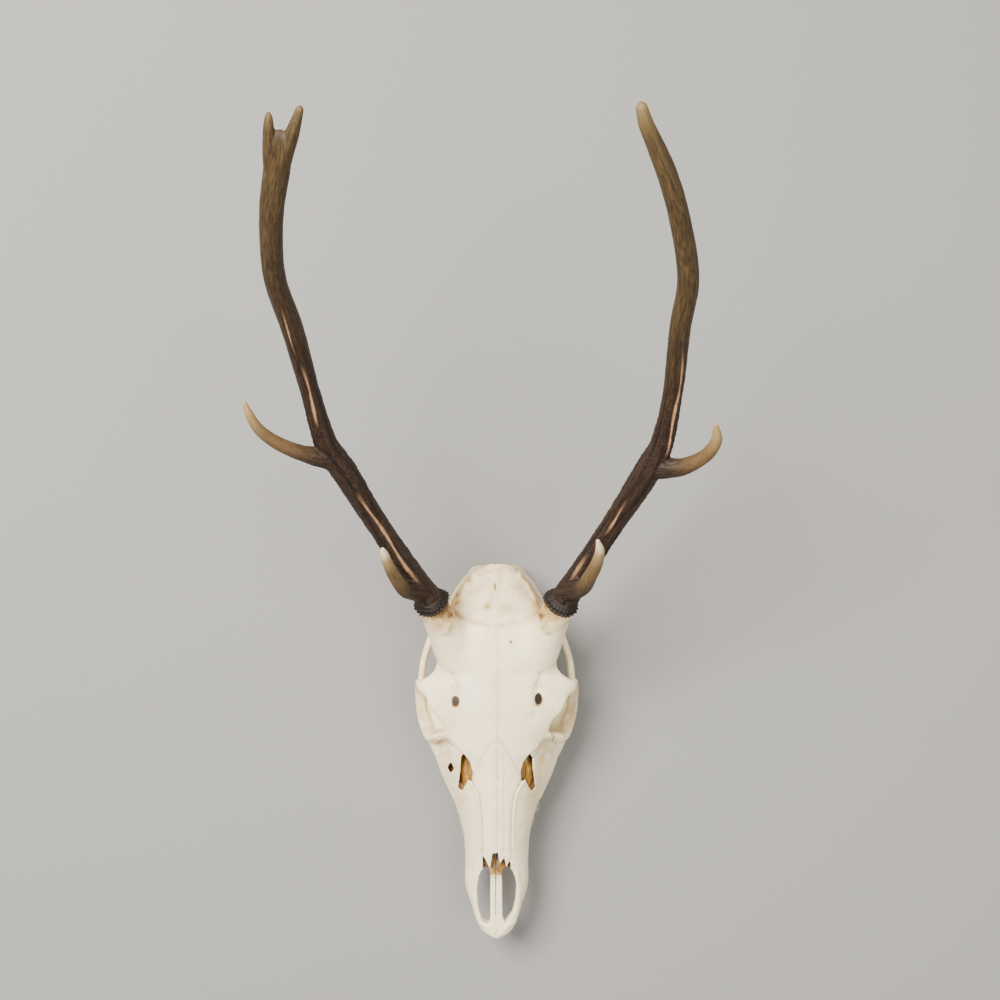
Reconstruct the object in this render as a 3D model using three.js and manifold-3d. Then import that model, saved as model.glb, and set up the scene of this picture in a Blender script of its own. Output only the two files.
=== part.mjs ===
// A sika stag's skull with its antlers and without the lower jaw, resting on its rear cheek teeth
// and on the two condyles of the neck joint.
// Millimetres, +Z up, nose towards -Y, antler tips towards +Y, the animal's left side at -X.
// The tables measure y from the tip of the snout and z from the floor. The finished group is
// moved at the end, so that the origin is the middle of its footprint.
import * as THREE from "three";
import { mergeVertices } from "three/addons/utils/BufferGeometryUtils.js";
import Module from "manifold-3d";

const wasm = await Module();
wasm.setup();

// Driving dimensions
const seam = 0.3;
const boneThickness = 2.4;
const faceEnd = 165;
const skullEnd = 294;
const toothRowFront = 83;
const toothRowRear = 168;
const toothRowSlope = Math.tan(THREE.MathUtils.degToRad(8.5));
const crownHeight = 13.5;
const orbit = { x: 57, y: 183, z: 56, wide: 20, long: 20.5, high: 18.5 };
const pedicleTop = { x: 47.5, y: 267, z: 108, radius: 11.6 };
const burrRadius = 13.6;
const burrHeight = 8;

// Surface facets
const faceAround = 24;
const faceAlong = 18;
const cavityAround = 16;
const cavityAlong = 12;
const braincaseAround = 22;
const braincaseAlong = 13;
const roofAround = 20;
const roofAlong = 15;
const beamAround = 10;
const beamAlong = 28;
const tineAround = 8;

// The face from snout to orbit: y, half width, top, height of the widest line, bottom and the
// power of the upper curve (2 is an ellipse, 1.5 is nearly a roof's slope).
const faceRows = [
  [0, 3, 41, 39.5, 38, 2.1],
  [3, 9.5, 44, 39, 35, 2.1],
  [9, 14.2, 46, 38, 33, 2.1],
  [26, 20.1, 52.4, 37, 31, 2.1],
  [45, 25.2, 55.4, 36, 29, 2.1],
  [60, 24.9, 59.5, 35, 27, 2.1],
  [73, 25.4, 64, 34, 25, 2.1],
  [94, 29.3, 69, 32, 22, 2],
  [110, 35, 73, 32, 19.5, 1.8],
  [132, 44.5, 78, 38, 16, 1.55],
  [150, 49, 82, 42, 14, 1.5],
  [faceEnd, 50, 85, 44, 13, 1.55]
];

// The nasal cavity inside it: y, half width and floor.
const cavityRows = [
  [12, 9, 37],
  [26, 14, 35],
  [45, 19.5, 33],
  [60, 20.5, 31],
  [94, 25, 31],
  [110, 30.5, 31],
  [132, 39.5, 31],
  [150, 42, 32],
  [160, 35, 34]
];

// The forehead plate over the orbits: y, half width, top and edge height.
const roofRows = [
  [136, 14, 76, 70],
  [150, 30, 82.3, 74],
  [160, 37, 84.5, 74],
  [167, 41, 86, 74],
  [175.5, 45, 87.5, 77],
  [186, 51.5, 89.5, 78],
  [196, 57, 90.5, 76],
  [200, 62, 91, 72],
  [203, 62.8, 91.5, 70],
  [208, 57, 92, 71],
  [214, 50, 92.5, 73],
  [222, 46, 93, 76],
  [232, 45, 93.5, 78],
  [245, 44, 93, 79],
  [258, 38, 87, 77],
  [268, 32, 80.5, 71],
  [276, 24, 74.5, 66]
];

// The braincase and its stalk between the orbits: y, half width, top, widest line and bottom.
const braincaseRows = [
  [157, 26, 82, 55, 33],
  [170, 23, 84, 55, 31],
  [185, 21, 86, 55, 33],
  [200, 22, 87, 52, 32],
  [215, 29, 88, 50, 28],
  [230, 34.5, 88.5, 48, 24],
  [245, 37.5, 88, 46, 21],
  [260, 38.5, 84, 44, 19],
  [269, 36, 79, 43, 17],
  [277, 31.5, 74, 42, 16],
  [284, 26, 69.5, 41, 17],
  [290, 19, 65, 41, 22],
  [skullEnd, 9, 60, 43, 30]
];

// Colours of the bleached bone, the scroll bones in the nose and the antlers.
function material(color, roughness) {
  return new THREE.MeshStandardMaterial({ color, roughness, metalness: 0 });
}
const bone = material(0xece3cf, 0.6);
const scrollBone = material(0xa37b45, 0.8);
const antler = material(0x4a3628, 0.7);

// A closed three.js geometry as a solid that can be joined and cut.
function solid(geometry) {
  geometry.deleteAttribute("normal");
  geometry.deleteAttribute("uv");
  const merged = mergeVertices(geometry);
  return new wasm.Manifold(new wasm.Mesh({
    numProp: 3,
    vertProperties: merged.attributes.position.array,
    triVerts: Uint32Array.from(merged.index.array)
  }));
}

// A value table read at any y, with smooth slopes that never overshoot a row.
function slopeAt(rows, i, column) {
  const rise = j => (rows[j + 1][column] - rows[j][column]) / (rows[j + 1][0] - rows[j][0]);
  if (i === 0) return rise(0);
  if (i === rows.length - 1) return rise(i - 1);
  const before = rise(i - 1);
  const after = rise(i);
  return before * after <= 0 ? 0 : (2 * before * after) / (before + after);
}

function rowAt(rows, y) {
  let i = 0;
  while (i < rows.length - 2 && y > rows[i + 1][0]) i += 1;
  const step = rows[i + 1][0] - rows[i][0];
  const t = THREE.MathUtils.clamp((y - rows[i][0]) / step, 0, 1);
  const ease = t * t * (3 - 2 * t);
  return rows[i].map((value, column) => {
    const near = slopeAt(rows, i, column) * step * t * (1 - t) * (1 - t);
    const far = slopeAt(rows, i + 1, column) * step * t * t * (t - 1);
    return value + (rows[i + 1][column] - value) * ease + near + far;
  });
}

// A cylinder whose every ring point is placed by a function of its share along the length, its
// angle around (0 is up) and 1 on the skin or 0 at the middle of an end.
function barrel(around, along, place) {
  const geometry = new THREE.CylinderGeometry(1, 1, 1, around, along);
  const position = geometry.attributes.position;
  for (let i = 0; i < position.count; i += 1) {
    const x = position.getX(i);
    const z = position.getZ(i);
    const point = place(position.getY(i) + 0.5, Math.atan2(x, z), Math.hypot(x, z) > 0.5 ? 1 : 0);
    position.setXYZ(i, point.x, point.y, point.z);
  }
  return solid(geometry);
}

const power = (value, exponent) => Math.sign(value) * Math.abs(value) ** exponent;

// A point of a squared or peaked oval ring, with its own power above and below the widest line.
function ovalPoint(y, halfWidth, top, widest, bottom, upperPower, lowerPower, angle, skin) {
  const across = Math.sin(angle);
  const up = Math.cos(angle);
  const shape = up > 0 ? upperPower : lowerPower;
  const rise = up > 0 ? top - widest : widest - bottom;
  const x = skin * halfWidth * power(across, 2 / shape);
  const z = skin ? widest + rise * power(up, 2 / shape) : (top + bottom) / 2;
  return new THREE.Vector3(x, y, z);
}

// A limb along a curve: rows of x, y, z, half thickness sideways and half thickness the other way.
function limb(rows, around, along, side = new THREE.Vector3(1, 0, 0)) {
  const curve = new THREE.CatmullRomCurve3(rows.map(row => new THREE.Vector3(...row.slice(0, 3))));
  const last = rows.length - 1;
  const sizes = rows.map((row, i) => [i / last, row[3], row[4] ?? row[3]]);
  return barrel(around, along, (t, angle, skin) => {
    const forward = curve.getTangent(t);
    const across = side.clone().addScaledVector(forward, -side.dot(forward)).normalize();
    const up = across.clone().cross(forward);
    const [, wide, deep] = rowAt(sizes, t);
    return curve.getPoint(t)
      .addScaledVector(across, skin * wide * Math.sin(angle))
      .addScaledVector(up, skin * deep * Math.cos(angle));
  });
}

// A flat outline pushed along an axis: "z" takes x, y points, "x" takes y, z points.
function prism(points, axis, from, to) {
  const shape = new THREE.Shape(points.map(point => new THREE.Vector2(...point)));
  const geometry = new THREE.ExtrudeGeometry(shape, { depth: to - from, bevelEnabled: false });
  geometry.translate(0, 0, from);
  if (axis === "x") {
    const turned = new THREE.Matrix4().makeBasis(
      new THREE.Vector3(0, 1, 0), new THREE.Vector3(0, 0, 1), new THREE.Vector3(1, 0, 0));
    geometry.applyMatrix4(turned);
  }
  return solid(geometry);
}

// A thin wall that follows a line of points, for cutting one bone from the next.
function wall(points, axis, from, to, thickness = seam, closed = false) {
  const line = closed ? [...points, points[0], points[1]] : points;
  let walls = null;
  for (let i = 0; i < line.length - 1; i += 1) {
    const a = new THREE.Vector2(...line[i]);
    const b = new THREE.Vector2(...line[i + 1]);
    const ahead = b.clone().sub(a).normalize().multiplyScalar(thickness / 2);
    const aside = new THREE.Vector2(-ahead.y, ahead.x);
    const corners = [
      a.clone().sub(ahead).sub(aside), b.clone().add(ahead).sub(aside),
      b.clone().add(ahead).add(aside), a.clone().sub(ahead).add(aside)
    ].map(corner => corner.toArray());
    const piece = prism(corners, axis, from, to);
    walls = walls ? walls.add(piece) : piece;
  }
  return walls;
}

const mirrored = points => points.map(([x, ...rest]) => [-x, ...rest]);

// The same piece on both sides of the head.
function bothSides(rows, make) {
  return make(rows).add(make(mirrored(rows)));
}

function ellipsoid(x, y, z, wide, long, high, around = 10, rings = 7) {
  const geometry = new THREE.SphereGeometry(1, around, rings);
  geometry.scale(wide, long, high);
  geometry.translate(x, y, z);
  return solid(geometry);
}

// The face

function faceOuter() {
  return barrel(faceAround, faceAlong, (t, angle, skin) => {
    const y = faceEnd * t ** 1.15;
    const [, halfWidth, top, widest, bottom, upper] = rowAt(faceRows, y);
    return ovalPoint(y, halfWidth, top, widest, bottom, upper, 3, angle, skin);
  });
}

function nasalCavity() {
  const from = cavityRows[0][0];
  const to = cavityRows.at(-1)[0];
  return barrel(cavityAround, cavityAlong, (t, angle, skin) => {
    const y = from + (to - from) * t;
    const [, , top, widest, , upper] = rowAt(faceRows, y);
    const [, halfWidth, floor] = rowAt(cavityRows, y);
    return ovalPoint(y, halfWidth, top - boneThickness, widest, floor, upper, 3, angle, skin);
  });
}

// The open top of the nose, above the rims of the two premaxillae.
const noseRim = [[-10, 42], [10, 45], [26, 47], [45, 51.5], [60, 57], [66, 62], [66, 110], [-10, 110]];

// The long opening in the floor of the nose on each side of the central rods, as x, y points.
const noseFloorLeft = [
  [-5, 14], [-7, 11.4], [-11.6, 14.4], [-15, 26], [-15.6, 40], [-13.6, 50], [-10.5, 54.4],
  [-7, 54.6], [-4.8, 50]
];
const noseFloorRight = [
  [4.3, 16], [6.4, 12.3], [12, 19.5], [14.8, 29], [15.6, 43], [13.8, 51], [10.5, 54.8],
  [6.5, 54.6], [3.8, 50]
];

// The two thin rods between them, x, y, z and half thicknesses, and the slit between the rods.
const leftRodRows = [
  [-3.4, 9, 38.6, 2.6, 2.4], [-3, 24, 38, 1.9, 2.6], [-2.9, 44, 36.5, 1.8, 2.6],
  [-2.9, 60, 34.5, 1.8, 2.6], [-2.6, 74, 33, 1.7, 2.4]
];
const rightRodRows = [
  [3, 9, 38.6, 2.6, 2.4], [2.5, 24, 38, 1.9, 2.6], [2.4, 44, 36.5, 1.9, 2.6],
  [2.4, 60, 34.5, 1.9, 2.6], [2.4, 74, 33, 1.8, 2.4]
];
const rodGap = [[-1.05, 19], [0.15, 19], [0.15, 70], [-1.05, 70]];

// What is open between and beside the broken prongs of the nasal bones.
const prongNotches = [[-10.9, 50], [10.9, 50], [10.9, 72.5], [-10.9, 72.5]];

// The gap in front of each tear bone, and the hole through the left cheek.
const cheekGap = [
  [19, 127.5], [18.3, 136], [20.5, 144], [25.3, 151], [27.4, 147], [28, 136], [30, 121.5],
  [27.2, 118.6], [24.3, 124], [21.9, 129.5]
];
const cheekHole = [[-38.4, 136.3], [-35.7, 131.4], [-33, 136.3], [-35.7, 141.2]];

// The rim of each hole over the eye: x, y, half width and half length.
const browHoles = [[-31, 192, 2.7, 3.8], [31.8, 193.5, 2.7, 4.4]];

// Teeth: length, width, distance of the middle from the centre line and number of lobes.
const teeth = [
  [10.5, 9, 23.5, 1],
  [11.5, 11, 26, 1],
  [11.5, 12.5, 28.5, 1],
  [15, 15, 30.5, 2],
  [17.5, 16.5, 31.5, 2],
  [19, 16.5, 31.5, 2]
];

function toothLobe(x, y, wide, long) {
  const lowest = (toothRowRear - y) * toothRowSlope;
  const basin = 1.8;
  const geometry = new THREE.CylinderGeometry(1, 0.86, crownHeight, 8, 1);
  geometry.rotateX(Math.PI / 2);
  const position = geometry.attributes.position;
  for (let i = 0; i < position.count; i += 1) {
    const middle = Math.hypot(position.getX(i), position.getY(i)) < 0.1;
    if (middle && position.getZ(i) < 0) position.setZ(i, position.getZ(i) + basin);
  }
  geometry.rotateZ(Math.PI / 8);
  geometry.scale(wide / 2, long / 2, 1);
  geometry.translate(x, y, lowest + crownHeight / 2);
  return solid(geometry);
}

function toothRow(side) {
  let row = null;
  let y = toothRowFront;
  for (const [length, width, middle, lobes] of teeth) {
    for (let lobe = 0; lobe < lobes; lobe += 1) {
      const long = length / lobes;
      const piece = toothLobe(side * middle, y + long * (lobe + 0.5), width, long * 1.1);
      row = row ? row.add(piece) : piece;
    }
    y += length;
  }
  return row;
}

// The arched palate between the tooth rows.
function palateVault() {
  const rows = [
    [0, 64, 19, 8, 6],
    [0, 90, 16, 15, 8],
    [0, 120, 12.5, 19, 10],
    [0, 150, 9, 19.5, 12],
    [0, 178, 5, 19, 14]
  ];
  return limb(rows, 10, 6);
}

// The forehead, the braincase and what grows from them

function roof() {
  const from = roofRows[0][0];
  const to = roofRows.at(-1)[0];
  const thickness = 5;
  return barrel(roofAround, roofAlong, (t, angle, skin) => {
    const y = from + (to - from) * t;
    const [, halfWidth, top, edge] = rowAt(roofRows, y);
    const up = Math.cos(angle) * skin;
    const arch = (top - edge) * (skin ? up * up : 1);
    const z = edge + arch + (thickness / 2) * (power(up, 0.5) - 1);
    return new THREE.Vector3(halfWidth * Math.sin(angle) * skin, y, z);
  });
}

function braincase() {
  const from = braincaseRows[0][0];
  return barrel(braincaseAround, braincaseAlong, (t, angle, skin) => {
    const y = from + (skullEnd - from) * t;
    const [, halfWidth, top, widest, bottom] = rowAt(braincaseRows, y);
    return ovalPoint(y, halfWidth, top, widest, bottom, 2.6, 2.4, angle, skin);
  });
}

// The stalk that carries an antler, drawn for the right side.
const pedicleRows = [
  [28, 221, 71, 16.5],
  [34, 235, 80, 15.4],
  [40.5, 250, 92.5, 13],
  [45, 261, 102.5, 11.8],
  [pedicleTop.x, pedicleTop.y, pedicleTop.z, pedicleTop.radius]
];

// The cheek bone's ring in front of, under and behind the eye, and its bar to the ear.
const orbitRingRows = [
  [38, 165, 70, 3.4, 4],
  [45, 161.5, 61, 4.6, 4.4],
  [51, 160, 50, 5, 4.5],
  [56.5, 167, 42, 4, 4.2],
  [60, 178, 38, 3.4, 4],
  [61.2, 189, 37.5, 3.2, 4],
  [61.4, 197, 42, 3.2, 4.6],
  [61.2, 200, 51, 2.8, 5.4],
  [60.4, 200.5, 61, 2.8, 6.4],
  [57, 201, 69, 3, 8],
  [50, 200, 74, 2.6, 9]
];

// The thin shelf of bone that floors the orbit, inside the ring.
const orbitFloorRows = [
  [46, 160, 42, 8, 2.5],
  [48, 168, 36.5, 11, 1.9],
  [49, 178, 33.5, 13, 1.8],
  [50, 188, 33.5, 13, 1.8],
  [52, 197, 35.5, 10.5, 1.9],
  [55, 203, 41, 7, 2.2]
];
const cheekBarRows = [
  [44, 146, 38, 6, 7],
  [52, 162, 37, 5, 8],
  [58.4, 180, 33.5, 3.2, 6],
  [59.6, 196, 35.5, 3, 5.4],
  [58.8, 208, 40, 3, 5],
  [56.8, 221, 44, 2.8, 5],
  [51.8, 236, 46, 3, 5],
  [45, 250, 45, 4, 5.4],
  [36, 260, 43, 6, 7]
];

// The broad root of the bar in front of the ear, the jaw's joint under it, the ear bulla, the process
// beside the neck joint and the condyle, on the right side.
const jawJointRows = [[26, 246, 42, 14, 5], [38, 242, 42, 13, 4.5], [47, 240, 44, 10, 4], [52, 237, 46, 6, 4]];
const neckProcessRows = [[27, 268, 34, 6, 5], [26, 271, 16, 4, 3.6], [24.5, 272, 2.6, 2.2, 2.6]];
const wingBlade = [[172, 36], [173, 24], [178, 15], [184, 13], [192, 17], [204, 26], [212, 34]];

function wholeSkull() {
  let skull = faceOuter().add(roof()).add(braincase());
  skull = skull.add(bothSides(pedicleRows, rows => limb(rows, 12, 5)));
  skull = skull.add(bothSides(orbitRingRows, rows => limb(rows, 8, 15)));
  skull = skull.add(bothSides(orbitFloorRows, rows => limb(rows, 8, 7)));
  skull = skull.add(bothSides(cheekBarRows, rows => limb(rows, 8, 12)));
  const forward = new THREE.Vector3(0, 1, 0);
  skull = skull.add(bothSides(jawJointRows, rows => limb(rows, 8, 3, forward)));
  skull = skull.add(bothSides(neckProcessRows, rows => limb(rows, 7, 4)));
  for (const side of [-1, 1]) {
    skull = skull
      .add(ellipsoid(side * 20, 251, 18, 8.5, 12.5, 10.5))
      .add(ellipsoid(side * 14, 283, 14, 10, 9.6, 14))
      .add(prism(wingBlade, "x", side * 13 - 1.4, side * 13 + 1.4));
  }
  return skull;
}

// What is hollow or open

function hollowed(skull) {
  let result = skull.subtract(nasalCavity());
  for (const side of [-1, 1]) {
    result = result.subtract(
      ellipsoid(side * orbit.x, orbit.y, orbit.z, orbit.wide, orbit.long, orbit.high, 16, 10));
    const gap = cheekGap.map(([x, y]) => [side * x, y]);
    result = result.subtract(prism(gap, "z", 52, 90));
  }
  result = result.subtract(palateVault());
  const neckHole = [[0, 262, 27, 4, 4], [0, 275, 24, 9.5, 8.5], [0, 300, 23, 11, 10]];
  return result.subtract(limb(neckHole, 12, 3));
}

function pierced(skull) {
  let result = skull.subtract(prism(cheekHole, "z", 44, 90));
  for (const [x, y, wide, long] of browHoles) {
    result = result.subtract(ellipsoid(x, y, 88, wide, long, 30, 12, 8));
  }
  for (const opening of [noseFloorLeft, noseFloorRight]) {
    result = result.subtract(prism(opening, "z", 10, 60));
  }
  return result;
}

// Parting the skull into its bones

// Cuts out of a solid what lies inside an outline, and leaves a seam around it.
function takeOut(whole, outline, axis, from, to) {
  const piece = whole.intersect(prism(outline, axis, from, to));
  const rest = whole
    .subtract(prism(outline, axis, from - seam, to + seam))
    .subtract(wall(outline, axis, from - seam, to + seam, 2 * seam, true));
  return [piece, rest];
}

// The two nasal bones in x, y points: the broken front edge, the side, the bulge and the point.
const nasalLeft = [
  [-0.1, 72], [-3.3, 71.2], [-5.2, 58.3], [-8.8, 66], [-11, 69], [-11.3, 100], [-12.3, 112],
  [-14, 119.5], [-18.4, 127.2], [-17.6, 134], [-11, 148], [-5, 158], [-0.1, 164]
];
const nasalRight = [
  [0.1, 72], [2.3, 62.6], [6, 67.7], [7.5, 58.7], [10.7, 66.5], [11, 69], [11.3, 100], [12.3, 112],
  [14, 119.5], [18.4, 127.2], [17.6, 134], [11, 148], [5, 158], [0.1, 164]
];

// The cheek bone's outline from the side, in y, z points.
const cheekBone = [
  [142, 45], [150, 60], [212, 62], [223, 58], [221, 30], [180, 22], [157, 23], [145, 33]
];
const snoutSuture = [[112, 90], [98, 62], [79, 45], [73, 28], [71, 10]];
const jawSuture = [[124, 100], [129, 66], [158, 46], [166, 32], [171, 26], [171, -5]];
const foreheadSuture = [[149, 52], [168, 60], [236, 63], [256, 78], [284, 106]];
const pairedBones = [
  [-10, -5], [171, -5], [171, 26], [166, 32], [158, 46], [149, 52], [168, 60], [236, 63],
  [256, 78], [290, 112], [-10, 112]
];

// The largest loose piece of a solid whose bounding box has its middle on the asked side.
function largest(pieces, test) {
  const fitting = pieces.filter(piece => {
    const { min, max } = piece.boundingBox();
    return test(new THREE.Vector3(min[0] + max[0], min[1] + max[1], min[2] + max[2]).divideScalar(2));
  });
  fitting.sort((a, b) => b.volume() - a.volume());
  return fitting[0];
}

function skullBones() {
  const bones = {};
  const shell = hollowed(wholeSkull());
  const sides = { left: nasalLeft, right: nasalRight };
  let rest = shell;
  for (const [side, outline] of Object.entries(sides)) {
    [bones[`nasal_${side}`], rest] = takeOut(rest, outline, "z", 50, 110);
  }
  rest = rest.subtract(prism(noseRim, "x", -60, 60)).subtract(prism(prongNotches, "z", 50, 112));
  rest = pierced(rest).add(limb(leftRodRows, 6, 6)).add(limb(rightRodRows, 6, 6));
  rest = rest.subtract(prism(rodGap, "z", 20, 60));
  for (const [side, from, to] of [["left", -80, -36], ["right", 36, 80]]) {
    [bones[`zygomatic_${side}`], rest] = takeOut(rest, cheekBone, "x", from, to);
  }
  for (const side of [-1, 1]) {
    rest = rest.add(toothRow(side));
  }
  rest = rest
    .subtract(wall(snoutSuture, "x", -60, 60))
    .subtract(wall(jawSuture, "x", -60, 60))
    .subtract(wall(foreheadSuture, "x", -80, 80))
    .subtract(prism(pairedBones, "x", -seam / 2, seam / 2));
  const loose = rest.decompose();
  for (const [side, sign] of [["left", -1], ["right", 1]]) {
    const beside = middle => middle.x * sign > 3;
    bones[`premaxilla_${side}`] = largest(loose, at => beside(at) && at.y < 60);
    bones[`maxilla_${side}`] = largest(loose, at => beside(at) && at.y > 100 && at.y < 135);
    bones[`frontal_${side}`] = largest(loose, at => beside(at) && at.y > 150 && at.z > 60);
  }
  bones.braincase = largest(loose, at => Math.abs(at.x) < 3 && at.y > 200);
  return bones;
}

// Inside the nose: the scroll bones and the blade between them

const scrollRows = [
  [9, 88, 46, 3.6, 7],
  [13, 106, 48, 6, 9],
  [17, 122, 50, 8.6, 11],
  [19, 136, 51.5, 10.4, 12.5],
  [18.5, 147, 51, 9.4, 11],
  [16.5, 156, 48.5, 5, 6.5]
];

function scrolls(sign) {
  const rows = sign < 0 ? mirrored(scrollRows) : scrollRows;
  return limb(rows, 10, 9);
}

const vomerOutline = [[78, 31.5], [136, 31.5], [151, 33], [151, 56], [120, 50], [84, 40]];

// The antlers

const leftBeam = [
  [-45.5, 262.5, 102, 11.4],
  [-50.5, 272, 111.5, 10.6],
  [-61, 288, 119.5, 9.2],
  [-84.5, 325.5, 144, 8.2],
  [-107, 366, 176, 9.4],
  [-117, 383, 190, 8.4],
  [-125, 417, 216, 6.8],
  [-132, 455, 253, 7.4],
  [-139.3, 486, 285, 7.2],
  [-136, 520, 320, 7.6, 6.6],
  [-129, 543, 342, 8.2, 6],
  [-125.4, 554.5, 353, 6.2, 4.8],
  [-123.8, 560.5, 358, 2.6, 2.2]
];
const leftTips = [
  [
    [-132.4, 528, 328, 4.6], [-132.6, 546, 346, 4.6], [-132, 559, 357.6, 3.8],
    [-131.2, 566.5, 363.6, 2.8], [-131, 569, 365.4, 1]
  ],
  [
    [-129.5, 528, 328, 4.6], [-125.4, 545, 345, 5.2], [-119.8, 556, 354, 4.8],
    [-115.4, 565, 361.2, 4], [-112.9, 570.4, 365.8, 3], [-112.3, 572, 367.2, 1]
  ]
];
const rightBeam = [
  [45.5, 262.5, 102, 11.4],
  [50.5, 272, 111.5, 10.6],
  [60, 288, 119.5, 9.2],
  [82.6, 325.5, 144, 8.3],
  [107, 367, 178, 9.8],
  [114, 383, 190, 8.4],
  [118.8, 416, 216, 6.9],
  [119.8, 459, 256, 7.2],
  [121.5, 484, 281, 7.1],
  [112.7, 515.5, 313, 6.7],
  [101.2, 540, 340, 6.2],
  [87, 563.5, 362.6, 4.6],
  [83.8, 571, 369.3, 3.4],
  [82.8, 573, 371, 1.4]
];
const leftMiddleTine = [
  [-111, 372, 182, 8.4],
  [-135, 377.7, 196, 5.6],
  [-150.5, 384.8, 208, 4.6],
  [-159.8, 392.8, 218, 3.8],
  [-165, 403, 228, 2.8],
  [-166.8, 410, 233, 1.1]
];
const rightMiddleTine = [
  [108, 365, 178, 8.6],
  [128, 367.8, 190, 6.4],
  [138, 372, 200, 5.2],
  [145, 378, 210, 4.6],
  [148.3, 386, 220, 3.8],
  [145.8, 395.5, 230, 1.4]
];
const leftBrowTine = [
  [-54, 277, 117, 8.4],
  [-66, 279.4, 132, 6],
  [-71.7, 287.3, 145, 4.8],
  [-76.1, 297.4, 160, 4],
  [-79, 307.5, 172, 2.9],
  [-79.8, 311, 176.4, 1.2]
];
const rightBrowTine = [
  [51.5, 277.5, 117, 8.4],
  [62.5, 281.5, 136, 6.3],
  [67.3, 290.5, 150, 5.2],
  [71.3, 300.3, 163, 4.4],
  [72.6, 310, 175, 3.2],
  [70.6, 317, 182, 1.2]
];

// The burr: a knobbly collar on the pedicle's end, square to the pedicle.
function pedicleAxis(sign) {
  const [lower, upper] = pedicleRows.slice(-2).map(row => new THREE.Vector3(...row.slice(0, 3)));
  const axis = upper.sub(lower).normalize();
  return new THREE.Vector3(sign * axis.x, axis.y, axis.z);
}

function burr(sign) {
  const axis = pedicleAxis(sign);
  const base = new THREE.Vector3(sign * pedicleTop.x, pedicleTop.y, pedicleTop.z);
  const knobs = 7;
  const across = new THREE.Vector3(1, 0, 0).addScaledVector(axis, -axis.x).normalize();
  const up = across.clone().cross(axis);
  return barrel(3 * knobs, 4, (t, angle, skin) => {
    const bulge = Math.sin(Math.PI * (0.12 + 0.76 * t)) ** 0.6;
    const radius = skin * (burrRadius * bulge + 0.8 * Math.cos(knobs * angle));
    return base.clone()
      .addScaledVector(axis, seam + burrHeight * t)
      .addScaledVector(across, radius * Math.sin(angle))
      .addScaledVector(up, radius * Math.cos(angle));
  });
}

// One antler, parted at its fork, with the tines cut where they meet the beam.
function antlerPieces(sign, beamRows, browRows, middleRows, tipRows) {
  const forkRow = 5;
  const grown = rows => rows.map(([x, y, z, wide, deep = wide]) => [x, y, z, wide + seam, deep + seam]);
  const whole = limb(beamRows, beamAround, beamAlong);
  const clearance = limb(grown(beamRows), beamAround, beamAlong);
  const axis = pedicleAxis(sign);
  const base = new THREE.Vector3(sign * pedicleTop.x, pedicleTop.y, pedicleTop.z);
  const fork = new THREE.Vector3(...beamRows[forkRow].slice(0, 3));
  const before = new THREE.Vector3(...beamRows[forkRow - 1].slice(0, 3));
  const after = new THREE.Vector3(...beamRows[forkRow + 1].slice(0, 3));
  const run = after.sub(before).normalize();
  const toArray = vector => vector.toArray();
  const lower = whole
    .trimByPlane(toArray(axis), axis.dot(base) + seam)
    .trimByPlane(toArray(run.clone().negate()), -run.dot(fork))
    .add(burr(sign));
  let upper = whole.trimByPlane(toArray(run), run.dot(fork) + seam);
  for (const rows of tipRows) {
    upper = upper.add(limb(rows, tineAround, 6));
  }
  const brow = limb(browRows, tineAround, 7).subtract(clearance);
  const middle = limb(middleRows, tineAround, 8).subtract(clearance);
  return { lower, upper, brow, middle };
}

// The scene graph

function meshOf(name, piece, look) {
  const part = piece.decompose().sort((a, b) => b.volume() - a.volume())[0].getMesh();
  const geometry = new THREE.BufferGeometry();
  geometry.setAttribute("position", new THREE.BufferAttribute(part.vertProperties, part.numProp));
  geometry.setIndex(new THREE.BufferAttribute(part.triVerts, 1));
  geometry.computeVertexNormals();
  const mesh = new THREE.Mesh(geometry, look);
  mesh.name = name;
  return mesh;
}

const mount = new THREE.Group();
for (const [name, piece] of Object.entries(skullBones())) {
  mount.add(meshOf(name, piece, bone));
}
mount.add(meshOf("vomer", prism(vomerOutline, "x", -1.1, 1.1), bone));
mount.add(meshOf("turbinates_left", scrolls(-1), scrollBone));
mount.add(meshOf("turbinates_right", scrolls(1), scrollBone));

const antlers = {
  left: antlerPieces(-1, leftBeam, leftBrowTine, leftMiddleTine, leftTips),
  right: antlerPieces(1, rightBeam, rightBrowTine, rightMiddleTine, [])
};
for (const [side, { lower, upper, brow, middle }] of Object.entries(antlers)) {
  mount.add(meshOf(`antler_${side}_lower_beam`, lower, antler));
  mount.add(meshOf(`antler_${side}_upper_beam`, upper, antler));
  mount.add(meshOf(`antler_${side}_brow_tine`, brow, antler));
  mount.add(meshOf(`antler_${side}_middle_tine`, middle, antler));
}

const box = new THREE.Box3().setFromObject(mount);
const middle = box.getCenter(new THREE.Vector3());
mount.position.set(-middle.x, -middle.y, -box.min.z);

export default mount;
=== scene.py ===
import math

import bpy
import numpy as np
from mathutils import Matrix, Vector, kdtree, noise


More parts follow.
